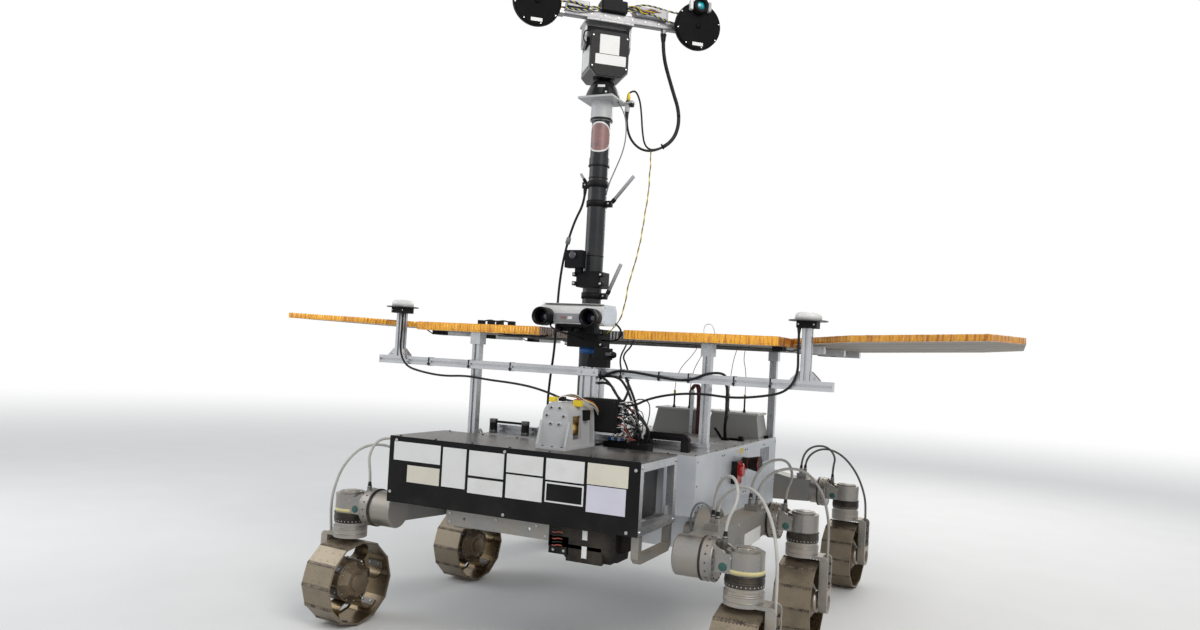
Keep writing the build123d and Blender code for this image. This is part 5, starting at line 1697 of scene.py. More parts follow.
@dataclass
class Wiring(Form):
    """The tangle of wires beside the post, its connector strip on the lid and the loops down to it."""

    name: str = "mast_wiring"
    lid: float = 668
    # control points of the thick black cables
    thick: tuple[tuple[Point, ...], ...] = (
        ((80, -534, 912), (150, -546, 925), (196, -552, 880), (222, -548, 812), (262, -540, 770),
         (276, -530, 728), (252, -524, 690)),
        ((80, -540, 890), (128, -556, 900), (164, -560, 850), (204, -548, 790), (232, -540, 740),
         (236, -530, 690)),
        ((187, -590, 815), (216, -586, 862), (200, -560, 906), (178, -540, 920), (212, -540, 860),
         (240, -536, 780), (220, -528, 690)),
        ((80, -544, 918), (126, -562, 905), (162, -560, 850), (205, -552, 812), (250, -545, 778),
         (282, -540, 740), (266, -530, 700), (238, -520, 688)),
        ((187, -596, 772), (232, -590, 768), (262, -570, 740), (246, -548, 706), (222, -526, 690)),
        ((187, -580, 790), (224, -574, 800), (250, -560, 760), (232, -544, 716), (206, -530, 690))
    )

    def build(self) -> None:
        """Make the wires and the strip."""
        self.blocks([
            ((170, 46, 26), (192, -512, self.lid), BLACK), ((60, 36, 14), (150, -512, self.lid + 25), BLACK),
            ((44, 36, 20), (232, -512, self.lid + 24), BLACK)
        ], 1.5, 4)
        for route in self.thick:
            path = self.wire(list(route), 4.5, CABLE, 10)
            self.tie(path, 0.55, 4.7, CABLE)
            self.boot(path[::-1], 4.5, 16, CABLE)
        colours = (WHITE_CABLE, CABLE, WHITE_CABLE, RED_CABLE, CABLE, WHITE_CABLE, GREY_CABLE, CABLE)
        for k in range(26):
            self.wire(self.loop(k), 1.3 + 0.7 * random.random(), colours[k % len(colours)], 6)
        for k in range(5):
            x = 130 + 12 * k
            self.block((9, 12, 12), STICKER if k % 2 else BLUE, at(x, -528, self.lid + 30), 0.8)
        self.mount("rover")

    def loop(self, k: int) -> list[Point]:
        """Return the route of one thin wire from the electronics box down to the strip.

        Args:
            k: the wire's number.

        Returns:
            Its control points.
        """
        start = (186, -604 + 3 * (k % 10), 748 + 3.4 * k)
        points = [start, (start[0] + 20, start[1] - 2, start[2] + 8 * random.random())]
        x, z = 206, start[2]
        for step in range(3):
            x += random.uniform(-12, 34)
            z += random.uniform(-45, 22)
            points.append((x, -586 + 18 * step + random.uniform(-12, 12), max(z, 706)))
        end = 124 + 5.2 * k
        points += [(end + 6, -532, 714 + 10 * random.random()), (end, -520, 690)]
        return points


@dataclass
class Mast(Form):
    """Cables, bands, stickers and clamps on the mast."""

    name: str = "mast_trim"
    y: float = -465
    radius: float = 34
    cable: tuple[Point, ...] = (
        (-50, -465, 1586), (-50, -465, 1536), (-88, -467, 1462), (-118, -469, 1350), (-132, -470, 1236),
        (-136, -467, 1120), (-140, -462, 1004), (-156, -455, 890), (-164, -449, 800), (-158, -446, 732),
        (-158, -446, 668)
    )
    ferrite_z: float = 1398
    # side, height of the clamp, the rod's two ends (distance from the mast's axis, height) and its radius
    sticks: tuple[tuple[int, float, Pair, Pair, float], ...] = (
        (1, 1528, (52, 1524), (139, 1625), 6.5), (1, 1198, (56, 1194), (108, 1313), 6.5),
        (-1, 1598, (42, 1598), (71, 1640), 5)
    )

    def build(self) -> None:
        """Make the mast's trim and its cable."""
        axis = at(0, self.y, 0)
        self.band(self.radius - 0.4, 22, 0.9, BLUE, axis @ at(0, 0, 1002), 36)
        self.band(self.radius + 2.2, 6, 2.2, CABLE, axis @ at(0, 0, 1664), 36)
        self.band(39.2, 8, 1.6, RING_BLACK, axis @ at(0, 0, 1830), 36)
        for z in (1150, 1340, 1620):
            self.band(self.radius - 0.5, 5, 1.6, CABLE, axis @ at(0, 0, z), 36)
        self.add_patch(1764, 55)
        for dx in (-55, 55):
            for y in (-493, -393):
                self.screw(5, STEEL, at(dx, y, 678))
        for dx in (-55, 55):
            for dy in (-55, 55):
                self.screw(4.2, STEEL, at(dx, self.y + dy, 1904))
        self.add_pedestal()
        self.add_sticks()
        self.add_plug()
        self.wire([(52, -452, 1900), (84, -455, 1862), (100, -462, 1790), (94, -465, 1720), (66, -467, 1650),
                   (44, -468, 1600), (36, -468, 1560)], 2.2, GREY_CABLE)
        self.add_clamps()
        self.mount("rover")
        self.add_cable()

    def add_pedestal(self) -> None:
        """Make the pan head's tapered foot in place of its node, with a blank tag and a dot on its front."""
        form = Form("pan_pedestal_cover")
        foot = at(0, self.y, 1904)
        form.lathe([(0.2, 0), (64, 0), (64, 6.5), (61.8, 14), (57, 28), (50, 42), (41.5, 54), (38.5, 60),
                    (25, 62), (25, 65.6)], TUBE_BLACK, foot, 40)
        face = foot @ turn_z(18) @ at(0, -62.5, 3) @ Matrix.Rotation(math.radians(-19), 4, "X") @ MINUS_Y
        form.prism([(-30, 0), (30, 0), (21, 50), (-21, 50)], 2.4, BLACK, face, 0.8)
        form.block((26, 10, 1), STICKER, face @ at(0, 34, 2.2), 0.2)
        form.lathe([(4, 0), (3.6, 1.2), (0.2, 1.2)], STICKER, face @ at(18, 10, 2.2), 16)
        form.mount("rover", "pan_pedestal")

    def add_sticks(self) -> None:
        """Make the stick antennas in place of their node: grey rods on black clamps."""
        form = Form("stick_antenna_rods")
        for side, z, foot, tip, radius in self.sticks:
            start = Vector((side * foot[0], self.y, foot[1]))
            end = Vector((side * tip[0], self.y, tip[1]))
            length = (end - start).length
            frame = path_frames([start, end])[0]
            form.lathe([(0.2, 0), (radius, 0), (radius, length - 3), (radius * 0.8, length), (0.2, length)],
                       GREY, frame, 20)
            form.lathe([(radius + 0.2, 12), (radius + 1.4, 14), (radius + 1.4, 26), (radius, 28)], BLACK,
                       frame, 20)
            form.band(self.radius - 0.4, 22, 4.4, BLACK, at(0, self.y, z - 1), 36)
            form.block((24, 18, 22), BLACK, at(side * 48, self.y, z - 12), 1, 3)
            form.screw(3.6, STEEL, at(side * 48, self.y - 9, z) @ MINUS_Y)
        form.mount("rover", "stick_antennas")

    def add_patch(self, z: float, size: float) -> None:
        """Add a round blank sticker that follows the tube.

        Args:
            z: the height of its centre.
            size: its radius.
        """
        turned, reach = math.radians(14), self.radius + 0.6
        for finish, shares in ((STICKER, (1, 0.95, 0.9)), (ROSE, (0.9, 0.75, 0.6, 0.45, 0.3, 0.15, 0.02))):
            rings = []
            for share in shares:
                ring = []
                for k in range(32):
                    a = 2 * math.pi * k / 32
                    turn = -math.pi / 2 + size * share * math.cos(a) / self.radius + turned
                    ring.append(Vector((reach * math.cos(turn), self.y + reach * math.sin(turn),
                                        z + size * share * math.sin(a))))
                rings.append(ring)
            self.skin(rings, finish, caps=False)

    def add_plug(self) -> None:
        """Add the plug of the branch cable on the tab beside the head plate, and the connector below it."""
        plug = at(80, -420, 1901) @ Matrix.Rotation(math.radians(4), 4, "Y")
        self.lathe([(0.2, -1), (9.5, -1), (9.5, 6), (7.5, 8), (0.2, 8)], RING_BLACK, plug, 20)
        self.lathe([(0.2, 7), (6.8, 7), (6.8, 26), (4.6, 36), (0.2, 37)], YELLOW, plug, 20)
        self.lathe([(0.2, -12), (8.5, -12), (8.5, 0), (0.2, 0)], RING_BLACK, at(96, -420, 1898), 16)
        self.block((12, 22, 6), PALE_GREY, at(96, -420, 1900.5), 0.8)

    def add_clamps(self) -> None:
        """Add side ears with bolts on the two large clamps."""
        for low, high, half in ((1012, 1078, 62), (1226, 1282, 47)):
            for side in (-1, 1):
                for z in (low + 12, high - 12):
                    self.block((16, 26, 14), BLACK, at(side * (half + 5), -500, z - 7), 1, 3)
                    self.screw(4.5, STEEL, at(side * (half + 5), -513, z) @ MINUS_Y)

    def add_cable(self) -> None:
        """Make the cable that hangs from the mast's clamp to the lid, with its gland and ferrite."""
        form = Form("mast_cable_hanging")
        path = form.wire(list(self.cable), 4.5, CABLE, 12)
        for end in (path, path[::-1]):
            form.boot(end, 4.5, 26, CABLE)
        bead = min(range(len(path)), key=lambda k: abs(path[k].z - self.ferrite_z))
        form.lathe([(4.6, -13), (8.5, -12), (9, 0), (8.5, 12), (4.6, 13)], GREY_CABLE,
                   path_frames(path)[bead], 18)
        form.lathe([(13, 0), (13, 8), (9.5, 11), (4.6, 11)], BLACK, at(*self.cable[-1]), 6, smooth=False)
        form.mount("rover", "mast_cable")


@dataclass
class CrossBeam(Form):
    """Leads, ties, brackets and end caps of the cross beam, and its two positioning antennas."""

    name: str = "cross_beam_trim"
    y: float = -520
    z: float = 927
    half: float = 876
    antenna_x: float = 788
    post_top: float = 1108
    left_lead: tuple[Point, ...] = (
        (766, -546, 1108), (766, -546, 1034), (770, -547, 962), (738, -547, 904), (660, -546, 884),
        (560, -547, 872), (460, -547, 880), (360, -547, 872), (276, -562, 850), (236, -589, 822),
        (187, -589, 822)
    )
    right_lead: tuple[Point, ...] = (
        (-766, -546, 1108), (-766, -546, 1034), (-770, -547, 962), (-738, -547, 904), (-660, -546, 886),
        (-560, -547, 876), (-460, -546, 884), (-360, -547, 874), (-262, -552, 870), (-172, -566, 862),
        (-88, -582, 846), (-12, -589, 822), (53, -589, 822)
    )
    # a second cable that lies along the beam's front and drops to the lid
    upper: tuple[Point, ...] = (
        (86, -541, 905), (124, -544, 934), (190, -541, 938), (280, -540, 928), (360, -540, 918),
        (420, -541, 922), (468, -543, 946), (516, -528, 952), (530, -506, 936), (520, -500, 918)
    )
    # a thick cable from the beam's back down to a clamp on the lid
    drop: tuple[Point, ...] = (
        (512, -506, 934), (500, -430, 924), (472, -300, 896), (411, -100, 842), (352, 100, 776),
        (320, 188, 716), (322, 200, 676)
    )

    def build(self) -> None:
        """Make the trim, the leads and the antennas."""
        for side in (-1, 1):
            self.add_brackets(side)
        for x in (-640, -460, -280, 160, 300, 405, 560, 680):
            self.add_tie(x)
        self.block((80, 4.5, 26), PROFILE_METAL, at(50, -567.5, self.z - 13), 0.8, 0)
        self.screws([(x, -570, self.z) for x in (26, 74)], 4.2, STEEL, MINUS_Y)
        self.wire(list(self.upper), 4.2, CABLE, 10)
        path = self.wire(list(self.drop), 6.5, CABLE, 12)
        for share in (0.15, 0.45, 0.75):
            self.tie(path, share, 6.7, CABLE)
        self.blocks([((30, 34, 12), (322, 200, 667), BLACK), ((75, 16, 10), (350, 232, 667), BLACK),
                     ((22, 26, 20), (382, 226, 667), BLACK)], 1, 4)
        self.wire([(305, 196, 676), (296, 180, 700), (286, 166, 716)], 5.5, BLACK, 10)
        self.mount("rover")
        leads = Form("beam_leads")
        for route in (self.left_lead, self.right_lead):
            path = leads.wire(list(route), 4, CABLE, 10)
            for end in (path, path[::-1]):
                leads.boot(end, 4, 20, CABLE)
        leads.mount("rover", "beam_cables")
        self.add_antennas()

    def add_brackets(self, side: int) -> None:
        """Add the end cap, the corner brackets at the antenna post and their screws.

        Args:
            side: 1 on the rover's left and -1 on its right.
        """
        self.block((2.4, 29, 29), PROFILE_METAL, at(side * (self.half - 1.2), self.y, self.z - 14.5), 0.4)
        for shift in (-1, 1):
            x = side * self.antenna_x + shift * 16.5
            outline = [(0, 0), (30, 0), (30, 4), (4, 30), (0, 30)]
            points = [(shift * a, b) for a, b in (outline if shift > 0 else outline[::-1])]
            self.prism(points, 26, PROFILE_METAL, at(x, self.y + 13, self.z + 14.8) @ MINUS_Y)
            self.screw(4, STEEL, at(x + shift * 14, self.y - 13, self.z + 24) @ MINUS_Y)

    def add_tie(self, x: float) -> None:
        """Add a black tie round the beam, with its head in front.

        Args:
            x: where along the beam.
        """
        low, high, side = self.z - 16.4, self.z + 15, 16.1
        self.blocks([
            ((4.5, 34.5, 1.2), (x, self.y, low), CABLE), ((4.5, 34.5, 1.2), (x, self.y, high), CABLE),
            ((4.5, 1.2, 32.4), (x, self.y - side, low), CABLE),
            ((4.5, 1.2, 32.4), (x, self.y + side, low), CABLE),
            ((7, 6, 7), (x, self.y - side - 2, self.z - 12), CABLE)
        ], 0.3)

    def add_antennas(self) -> None:
        """Make the two antennas: a black block, a thin ground plane and a white dome with its cable gland."""
        form = Form("positioning_antennas")
        for side in (-1, 1):
            place = at(side * self.antenna_x, self.y, self.post_top)
            form.block((64, 64, 22), BLACK, place, 1, 6)
            form.lathe([(0.2, 21.8), (61.5, 21.8), (62, 22.4), (62, 24.6), (61.5, 25.2), (0.2, 25.2)],
                       DARK_METAL, place, 48)
            form.lathe([(0.2, 25), (42, 25), (42, 37.5), (40.5, 42.5), (36, 47.5), (27, 50.5), (0.2, 52)],
                       WHITE, place, 48)
            form.screw_ring(4, 52, 2.8, STEEL, place @ at(0, 0, 25.2), 45)
            for dx in (-24, 24):
                form.screw(2.8, STEEL, place @ at(dx, -32, 11) @ MINUS_Y)
        form.mount("rover", "antenna_units")


@dataclass
class SolarArray(Form):
    """The pleated film along the array's edges."""

    name: str = "array_film"
    bottom: float = 1048
    top: float = 1078
    wing_x: float = 708
    wing_bottom: float = 1058
    wing_thick: float = 20
    rise: dict[int, float] = field(default_factory=lambda: {1: math.radians(2.9), -1: math.radians(1.2)})
    pitch: float = 12.5
    depth: float = 3
    # corners of the centre panel's edges, for the left half, and of a wing's, from its root
    centre_edges: tuple[tuple[Pair, Pair], ...] = (
        ((165, -537), (700, -537)), ((700, 548), (550, 678)), ((550, 678), (0, 678))
    )
    wing_edges: tuple[tuple[Pair, Pair], ...] = (
        ((0, -372), (222, -572)), ((222, -572), (612, -572)), ((612, -572), (700, -285)),
        ((700, 478), (560, 678)), ((560, 678), (0, 678))
    )

    def build(self) -> None:
        """Make the film."""
        for side in (-1, 1):
            for a, b in self.centre_edges:
                low = [Vector((side * x, y, self.bottom)) for x, y in (a, b)]
                self.add_pleats(side, low, self.top - self.bottom, FILM)
            for a, b in self.wing_edges:
                low = [self.wing_point(side, x, y, 0) for x, y in (a, b)]
                self.add_pleats(side, low, self.wing_thick, DULL_FILM if side > 0 else FILM)
        self.mount("rover")

    def wing_point(self, side: int, out: float, y: float, up: float) -> Vector:
        """Return a place on a wing.

        Args:
            side: 1 on the rover's left and -1 on its right.
            out: the distance out from the wing's root.
            y: the place along the rover.
            up: the height above the wing's underside.

        Returns:
            The place.
        """
        c, s = math.cos(self.rise[side]), math.sin(self.rise[side])
        return Vector((side * (self.wing_x + out * c - up * s), y, self.wing_bottom + out * s + up * c))

    def add_pleats(self, side: int, low: list[Vector], height: float, finish: Finish) -> None:
        """Add a strip of pleated film over one straight edge.

        Args:
            side: 1 on the rover's left, where the edge runs round the panel clockwise seen from above.
            low: the two ends of the edge's underside.
            height: the panel's thickness.
            finish: the film's finish.
        """
        run = low[1] - low[0]
        outward = Vector((run.y, -run.x, 0)).normalized() * side
        steps = max(4, round(run.length / self.pitch * 4))
        rings = []
        for k in range(steps + 1):
            base = low[0] + run * (k / steps)
            fold = (0.25, 0.9, 1, 0.35)[k % 4] * self.depth * random.uniform(0.65, 1)
            sway = Vector((0, 0, random.uniform(-0.6, 0.6)))
            lift = Vector((0, 0, height))
            rings.append([
                base - outward * 12 - Vector((0, 0, 0.6)), base + outward * 0.6 + sway,
                base + outward * fold + lift * 0.25, base + outward * fold * 0.8 + lift * 0.75,
                base + outward * 0.6 + lift + sway, base - outward * 14 + lift + Vector((0, 0, 0.6))
            ])
        self.skin(rings, finish, smooth=False)


@dataclass
class ArrayParts(Form):
    """The ribs in the array's notch, the connectors and cables above and below it and the aerials' wires."""

    name: str = "array_parts"
    bottom: float = 1048
    top: float = 1078

    def build(self) -> None:
        """Make the parts."""
        for k in range(22):
            x = -131.2 + 12.5 * k
            self.block((5.5, 4.5, 28), PALE_GREY, at(x, -374, self.bottom + 1), 0.6)
        self.block((270, 1.6, 29), DARK_METAL, at(0, -372.5, self.bottom + 0.5), 0.3)
        for side in (-1, 1):
            for k in range(12):
                y = -530 + 13 * k
                x = side * (165 - (y + 537) * 30 / 165)
                self.block((4.5, 5.5, 28), PALE_GREY, at(x - side * 1, y, self.bottom + 1), 0.6)
            for y in (-420, -60, 330):
                self.block((34, 60, 16), BLACK, at(side * 676, y, self.bottom - 15.5), 1, 2)
                self.wire([(side * 690, y, self.bottom - 8), (side * 712, y + 12, self.bottom - 16),
                           (side * 740, y + 16, self.bottom - 4), (side * 760, y + 6, 1059.2)], 2.4, CABLE)
        for y in (-100, 200, 500):
            self.block((1200, 24, 6), DARK_METAL, at(0, y, self.bottom - 5.5), 1)
        for x in (-430, -388, -350, -300):
            self.block((24, 20, 16), BLACK, at(x, -508, self.top - 0.5), 1, 2)
        self.wire([(-442, -506, 1084), (-405, -500, 1098), (-368, -505, 1090), (-330, -500, 1097),
                   (-292, -508, 1083)], 2.6, CABLE)
        for y in (-500, -470):
            self.wire([(-150, y, 1050), (-190, y + 4, 1041), (-250, y - 3, 1046), (-310, y, 1040),
                       (-370, y, 1050)], 3, CABLE)
        self.wire([(-110, -374, 1052), (-86, -440, 1036), (-58, -486, 1030), (-30, -500, 1024)], 3, CABLE)
        self.add_drops()
        self.mount("rover")

    def add_drops(self) -> None:
        """Add the cables that drop from the panel to the beam and the thin wires from the aerials' tips."""
        for x, sway in ((126, 10), (150, -8)):
            self.wire([(x - 12, -378, 1056), (x + 6, -430, 1030), (x + sway, -490, 990), (x + 18, -508, 958),
                       (x + 30, -520, 938)], 3, CABLE)
        for k, x in enumerate((8, 80, 259, 331)):
            self.wire([(x, 432, 848), (x + 2, 430, 900), (x + 26 - 10 * k, 436, 960),
                       (x + 70 - 30 * k, 446, 1008), (x + 90 - 35 * k, 456, 1050)], 1.6, RED_CABLE, 6)
        for dx in (0, 7, 14):
            self.wire([(80 + dx / 3, 430, 846), (104 + dx, 402, 886), (134 + dx, 378, 872),
                       (137 + dx, 375, 780), (138 + dx, 374, 667)], 4.2, STRAP)
        self.wire([(450, -530, 1076), (446, -530, 1100), (464, -531, 1112), (482, -530, 1102),
                   (488, -530, 1076)], 1.6, WHITE_CABLE, 6)


@dataclass
class RadioBoxes(Form):
    """White lids, seams, screws and aerials of the two radio boxes."""

    name: str = "radio_box_trim"
    places: tuple[Pair, ...] = ((44, 462), (295, 462))
    lid_low: float = 766
    lid_high: float = 773
    tip: float = 851

    def build(self) -> None:
        """Make the boxes' trim."""
        self.block((469, 139, self.lid_high - self.lid_low + 0.8), STICKER,
                   at(169.5, 462, self.lid_low - 0.2), 0.6)
        self.block((14, 14, 190), PROFILE_METAL, at(114, 370, 667), 0.6, 1)
        for x, y in self.places:
            for dx in (-98, 0, 98):
                for dy in (-60, 60):
                    self.screw(2.8, DARK_STEEL, at(x + dx, y + dy, self.lid_high))
            for dx in (-36, 36):
                self.add_aerial(at(x + dx, y - 30, self.lid_high))
            for end in (-1, 1):
                self.block((18, 18, 10), BLACK, at(x + end * 127, y + 20, 668), 1, 3)
        self.mount("rover")

    def add_aerial(self, place: Matrix) -> None:
        """Add one aerial's nut, black sleeve and yellow tip.

        Args:
            place: its foot on the lid.
        """
        high = self.tip - self.lid_high
        self.lathe([(7.5, 0), (7.5, 4), (5.5, 5), (5.5, 12), (3.8, 14)], BLACK, place, 12)
        self.lathe([(3.8, 2), (3.8, high - 18)], BLACK, place, 12, True)
        self.lathe([(4.6, high - 19), (5.2, high - 12), (4.6, high - 1), (0.2, high)], YELLOW, place, 12)


@dataclass
class StereoCamera(Form):
    """Hoods, lenses, end plate and bracket of the stereo camera, and the small camera on the mast."""

    name: str = "stereo_camera_trim"
    front: float = -682
    z: float = 1110
    hoods: Pair = (-88, 92)

    def build(self) -> None:
        """Make the trim."""
        for x in self.hoods:
            eye = at(x, self.front, self.z) @ MINUS_Y
            self.lathe([(25.4, -41), (25.6, 0), (31.4, 0), (31.4, -12), (31.2, -14), (31.2, -50.5),
                        (30, -50.5)], PANEL_BLACK, eye, 40)
            self.lathe([(25.5, -41), (20, -36), (20, -34), (16, -33)], BLACK, eye, 32)
            self.lathe([(16.5, -34), (12, -31), (0.2, -29)], DARK_LENS, eye, 28)
            self.band(31, 4, 0.8, RING_BLACK, eye @ at(0, 0, -30), 40)
        end = at(126, 0, 0) @ PLUS_X
        outline = [(-1092, -628), (-1092, -521), (-1136, -521), (-1154.5, -545), (-1154.5, -628)]
        self.prism(outline, 1.4, BLUISH, end, 0.4)
        self.screws([(127.2, y, z) for y, z in ((-620, 1100), (-530, 1100), (-620, 1146))], 2.2, STEEL,
                    PLUS_X)
        self.blocks([
            ((112, 20, 30), (2, -640, 1093), PLATE_METAL), ((16, 1.2, 10), (-14, -650.3, 1103), ROSE),
            ((16, 1.2, 10), (12, -650.3, 1103), STICKER), ((110, 84, 8.5), (0, -575, 1079.5), BLACK),
            ((50, 60, 16), (-30, -570, 1064), BLACK), ((34, 50, 20), (56, -560, 1060), BLACK),
            ((230, 106, 1.2), (4, -574, 1157.6), WHITE)
        ], 0.8, 3)
        for x in (-52, 20):
            self.lathe([(0.2, 0), (10, 1), (11, 14), (7, 18), (0.2, 18)], BLACK, at(x, -598, 1070) @ MINUS_Y,
                       18)
        self.wire([(-62, -622, 1094), (-72, -650, 1082), (-40, -640, 1062), (-10, -600, 1052),
                   (10, -530, 1040)], 3, CABLE)
        self.wire([(124, -530, 1100), (146, -520, 1086), (138, -500, 1050), (100, -490, 1036),
                   (60, -486, 1040)], 3.4, CABLE)
        small = at(-46, -542, 1334) @ MINUS_Y
        self.lathe([(13, 0), (13, 5), (10.5, 6), (0.2, 6.2)], DARK_LENS, small, 28)
        self.mount("rover")


@dataclass
class Head:
    """The masthead's trim, laid out facing the front and then panned."""

    y: float = -465
    pan: float = 40
    housing_half: float = 69.8
    disc_z: float = 2180
    disc_front: float = -118
    lens_z: float = 2248
    disc_x: Pair = (-277, 307)
    tube_y: float = -34
    tube_top: float = 2204

    @property
    def place(self) -> Matrix:
        """Return where the masthead's trim stands once it is panned."""
        return at(0, self.y, 0) @ turn_z(self.pan)

    def build(self) -> None:
        """Make the trim of the pan housing and of the tilting frame."""
        self.add_housing()
        self.add_frame()
        self.add_cameras()

    def add_housing(self) -> None:
        """Add the pan housing's face, blank plates, side covers and small cable loop."""
        form = Form("pan_housing_trim")
        front = self.place @ at(0, -62.1, 0) @ MINUS_Y
        outline = [(-44, 1972), (44, 1972), (70, 2000), (70, 2118), (58, 2132), (-58, 2132), (-70, 2118),
                   (-70, 2000)]
        form.prism(outline, 3, PANEL_BLACK, front, 1)
        form.prism([(x - 2, z + 2084) for x, z in rounded_outline(72, 68, 2)], 1.2, STICKER,
                   front @ at(0, 0, 2.6), 0.3)
        form.prism([(x + 4, z + 2030) for x, z in rounded_outline(112, 36, 2)], 1.2, STICKER,
                   front @ at(0, 0, 2.6), 0.3)
        for x in (-62, 62):
            for z in (2004, 2112):
                form.screw(2.6, STEEL, front @ at(x, z, 3))
        for side, finish in ((-1, STICKER), (1, BLACK)):
            cover = self.place @ at(side * self.housing_half, 0, 0) @ sideways(side)
            points = [(-side * 2006, -50), (-side * 2006, 50), (-side * 2078, 50), (-side * 2078, -50)]
            form.prism(points if side > 0 else points[::-1], 2.2, finish, cover, 0.6)
            form.lathe([(24, 0), (24, 4), (22, 6), (12.5, 6)], BLACK,
                       self.place @ at(side * self.housing_half, 0, 2100) @ sideways(side), 32)
        form.wire([
            tuple(self.place @ Vector(p)) for p in ((-60, -50, 2128), (-88, -56, 2132), (-98, -56, 2104),
                                                    (-90, -52, 2084), (-71, -44, 2078))
        ], 2.6, CABLE)
        form.mount("pan_head")

    def add_frame(self) -> None:
        """Add the discs' rims, tags and screws, the strips on the frame and the wires on the tube."""
        form = Form("masthead_trim")
        for x in self.disc_x:
            disc = self.place @ at(x, self.disc_front, self.disc_z) @ MINUS_Y
            form.lathe([(83, -22.5), (83.6, -21.5), (83.6, -2), (81.5, 0.4), (76, 0.4), (75, -0.6)],
                       DISC_BLACK, disc, 56)
            form.screw_ring(8, 78.5, 2.2, STEEL, disc, 11)
            form.lathe([(10, 0), (10, 2.2), (8.5, 3.2), (0.2, 3.2)], DISC_BLACK, disc, 24)
            form.prism([(a, b - 66) for a, b in rounded_outline(40, 12, 1)], 1.2, STICKER, disc, 0.2)
        for x, width in ((-52, 20), (-20, 34), (24, 40), (62, 18)):
            form.block((width, 2.4, 5), STICKER, self.place @ at(x, -55.5, 2169.5), 0.4)
        for k in range(9):
            x = -170 + 50 * k
            form.screw(2.6, STEEL, self.place @ at(x, self.tube_y - 14, 2190) @ MINUS_Y)
        self.add_wires(form)
        form.mount("tilt_head")

    def add_cameras(self) -> None:
        """Make the camera boxes, their lenses and the boxes on the tube in place of their node."""
        form = Form("head_camera_units")
        for x in self.disc_x:
            form.block((64, 74, 110), GREY, self.place @ at(x, self.disc_front + 61, 2157), 2, 5)
            barrel = self.place @ at(x, self.disc_front, self.lens_z) @ MINUS_Y
            form.lathe([(27.6, -30), (27.6, 16), (26.8, 22), (17, 22), (16.5, 8), (16.5, -10)], BLACK,
                       barrel, 40)
            form.lathe([(16.8, 8), (15, 11), (8.5, 13.5), (0.2, 14.2)], LENS, barrel, 32)
            form.band(27.2, 4, 0.7, RING_BLACK, barrel @ at(0, 0, 4), 40)
            for side in (-1, 1):
                form.block(
                    (12, 20, 34), STICKER if side < 0 else GREY,
                    self.place @ at(x + side * 34, self.disc_front - 6, self.lens_z - 18), 2, 3
                )
        top = self.tube_top
        form.block((96, 66, 42), BLACK, self.place @ at(10, self.tube_y, top), 3, 8)
        form.block((120, 60, 34), GREY, self.place @ at(150, self.tube_y, top), 1.2, 2)
        form.block((80, 46, 24), PLATE_METAL, self.place @ at(-120, self.tube_y, top), 1.2, 2)
        form.block((100, 4, 30), PALE_GREY, self.place @ at(150, self.tube_y - 31, top + 2), 0.8)
        form.block((30, 40, 30), MACHINED, self.place @ at(-182, self.tube_y - 2, 2174.5), 1, 2)
        form.block((60, 50, 16), BLACK, self.place @ at(10, self.tube_y, top + 42), 2, 4)
        for x in (-150, -90, 100, 120, 180, 200):
            form.screw(2.4, STEEL, self.place @ at(x, self.tube_y, top + (24 if x < 0 else 34)))
        for x, dz in ((-194, 6), (-194, -6), (-170, 6), (-170, -6)):
            form.screw(2.8, DARK_STEEL, self.place @ at(x, self.tube_y - 22, 2190 + dz) @ MINUS_Y)
        form.mount("tilt_head", "head_cameras")

    def add_wires(self, form: Form) -> None:
        """Add twisted and loose wires along the tube and over the boxes.

        Args:
            form: the piece that they go into.
        """
        rows = (
            ((-236, -60, 2205), (-190, -56, 2212), (-140, -62, 2220), (-90, -58, 2206), (-45, -60, 2214)),
            ((-236, -52, 2190), (-180, -56, 2196), (-120, -60, 2190), (-70, -58, 2202), (-36, -58, 2210)),
            ((56, -58, 2214), (85, -70, 2226), (110, -72, 2208), (140, -68, 2216), (190, -66, 2202),
             (240, -60, 2196), (276, -70, 2205)),
            ((56, -50, 2226), (100, -66, 2244), (160, -60, 2246), (220, -50, 2240), (280, -70, 2230))
        )
        for route in rows:
            points = [tuple(self.place @ Vector(p)) for p in route]
            form.twist(points, 1.8, (YELLOW, BLUE, CABLE), 22)
        for k in range(8):
            x = 52 + 4 * k
            points = [(x, -50, 2232 - 4 * k), (x + 30, -80 + 3 * k, 2236 - 3 * k),
                      (x + 60, -76, 2205 + 4 * k), (x + 100, -66, 2222), (x + 130, -60, 2228)]
            form.wire(
                [tuple(self.place @ Vector(p)) for p in points], 1.5,
                (YELLOW, CABLE, GREY_CABLE, RED_CABLE)[k % 4], 6
            )


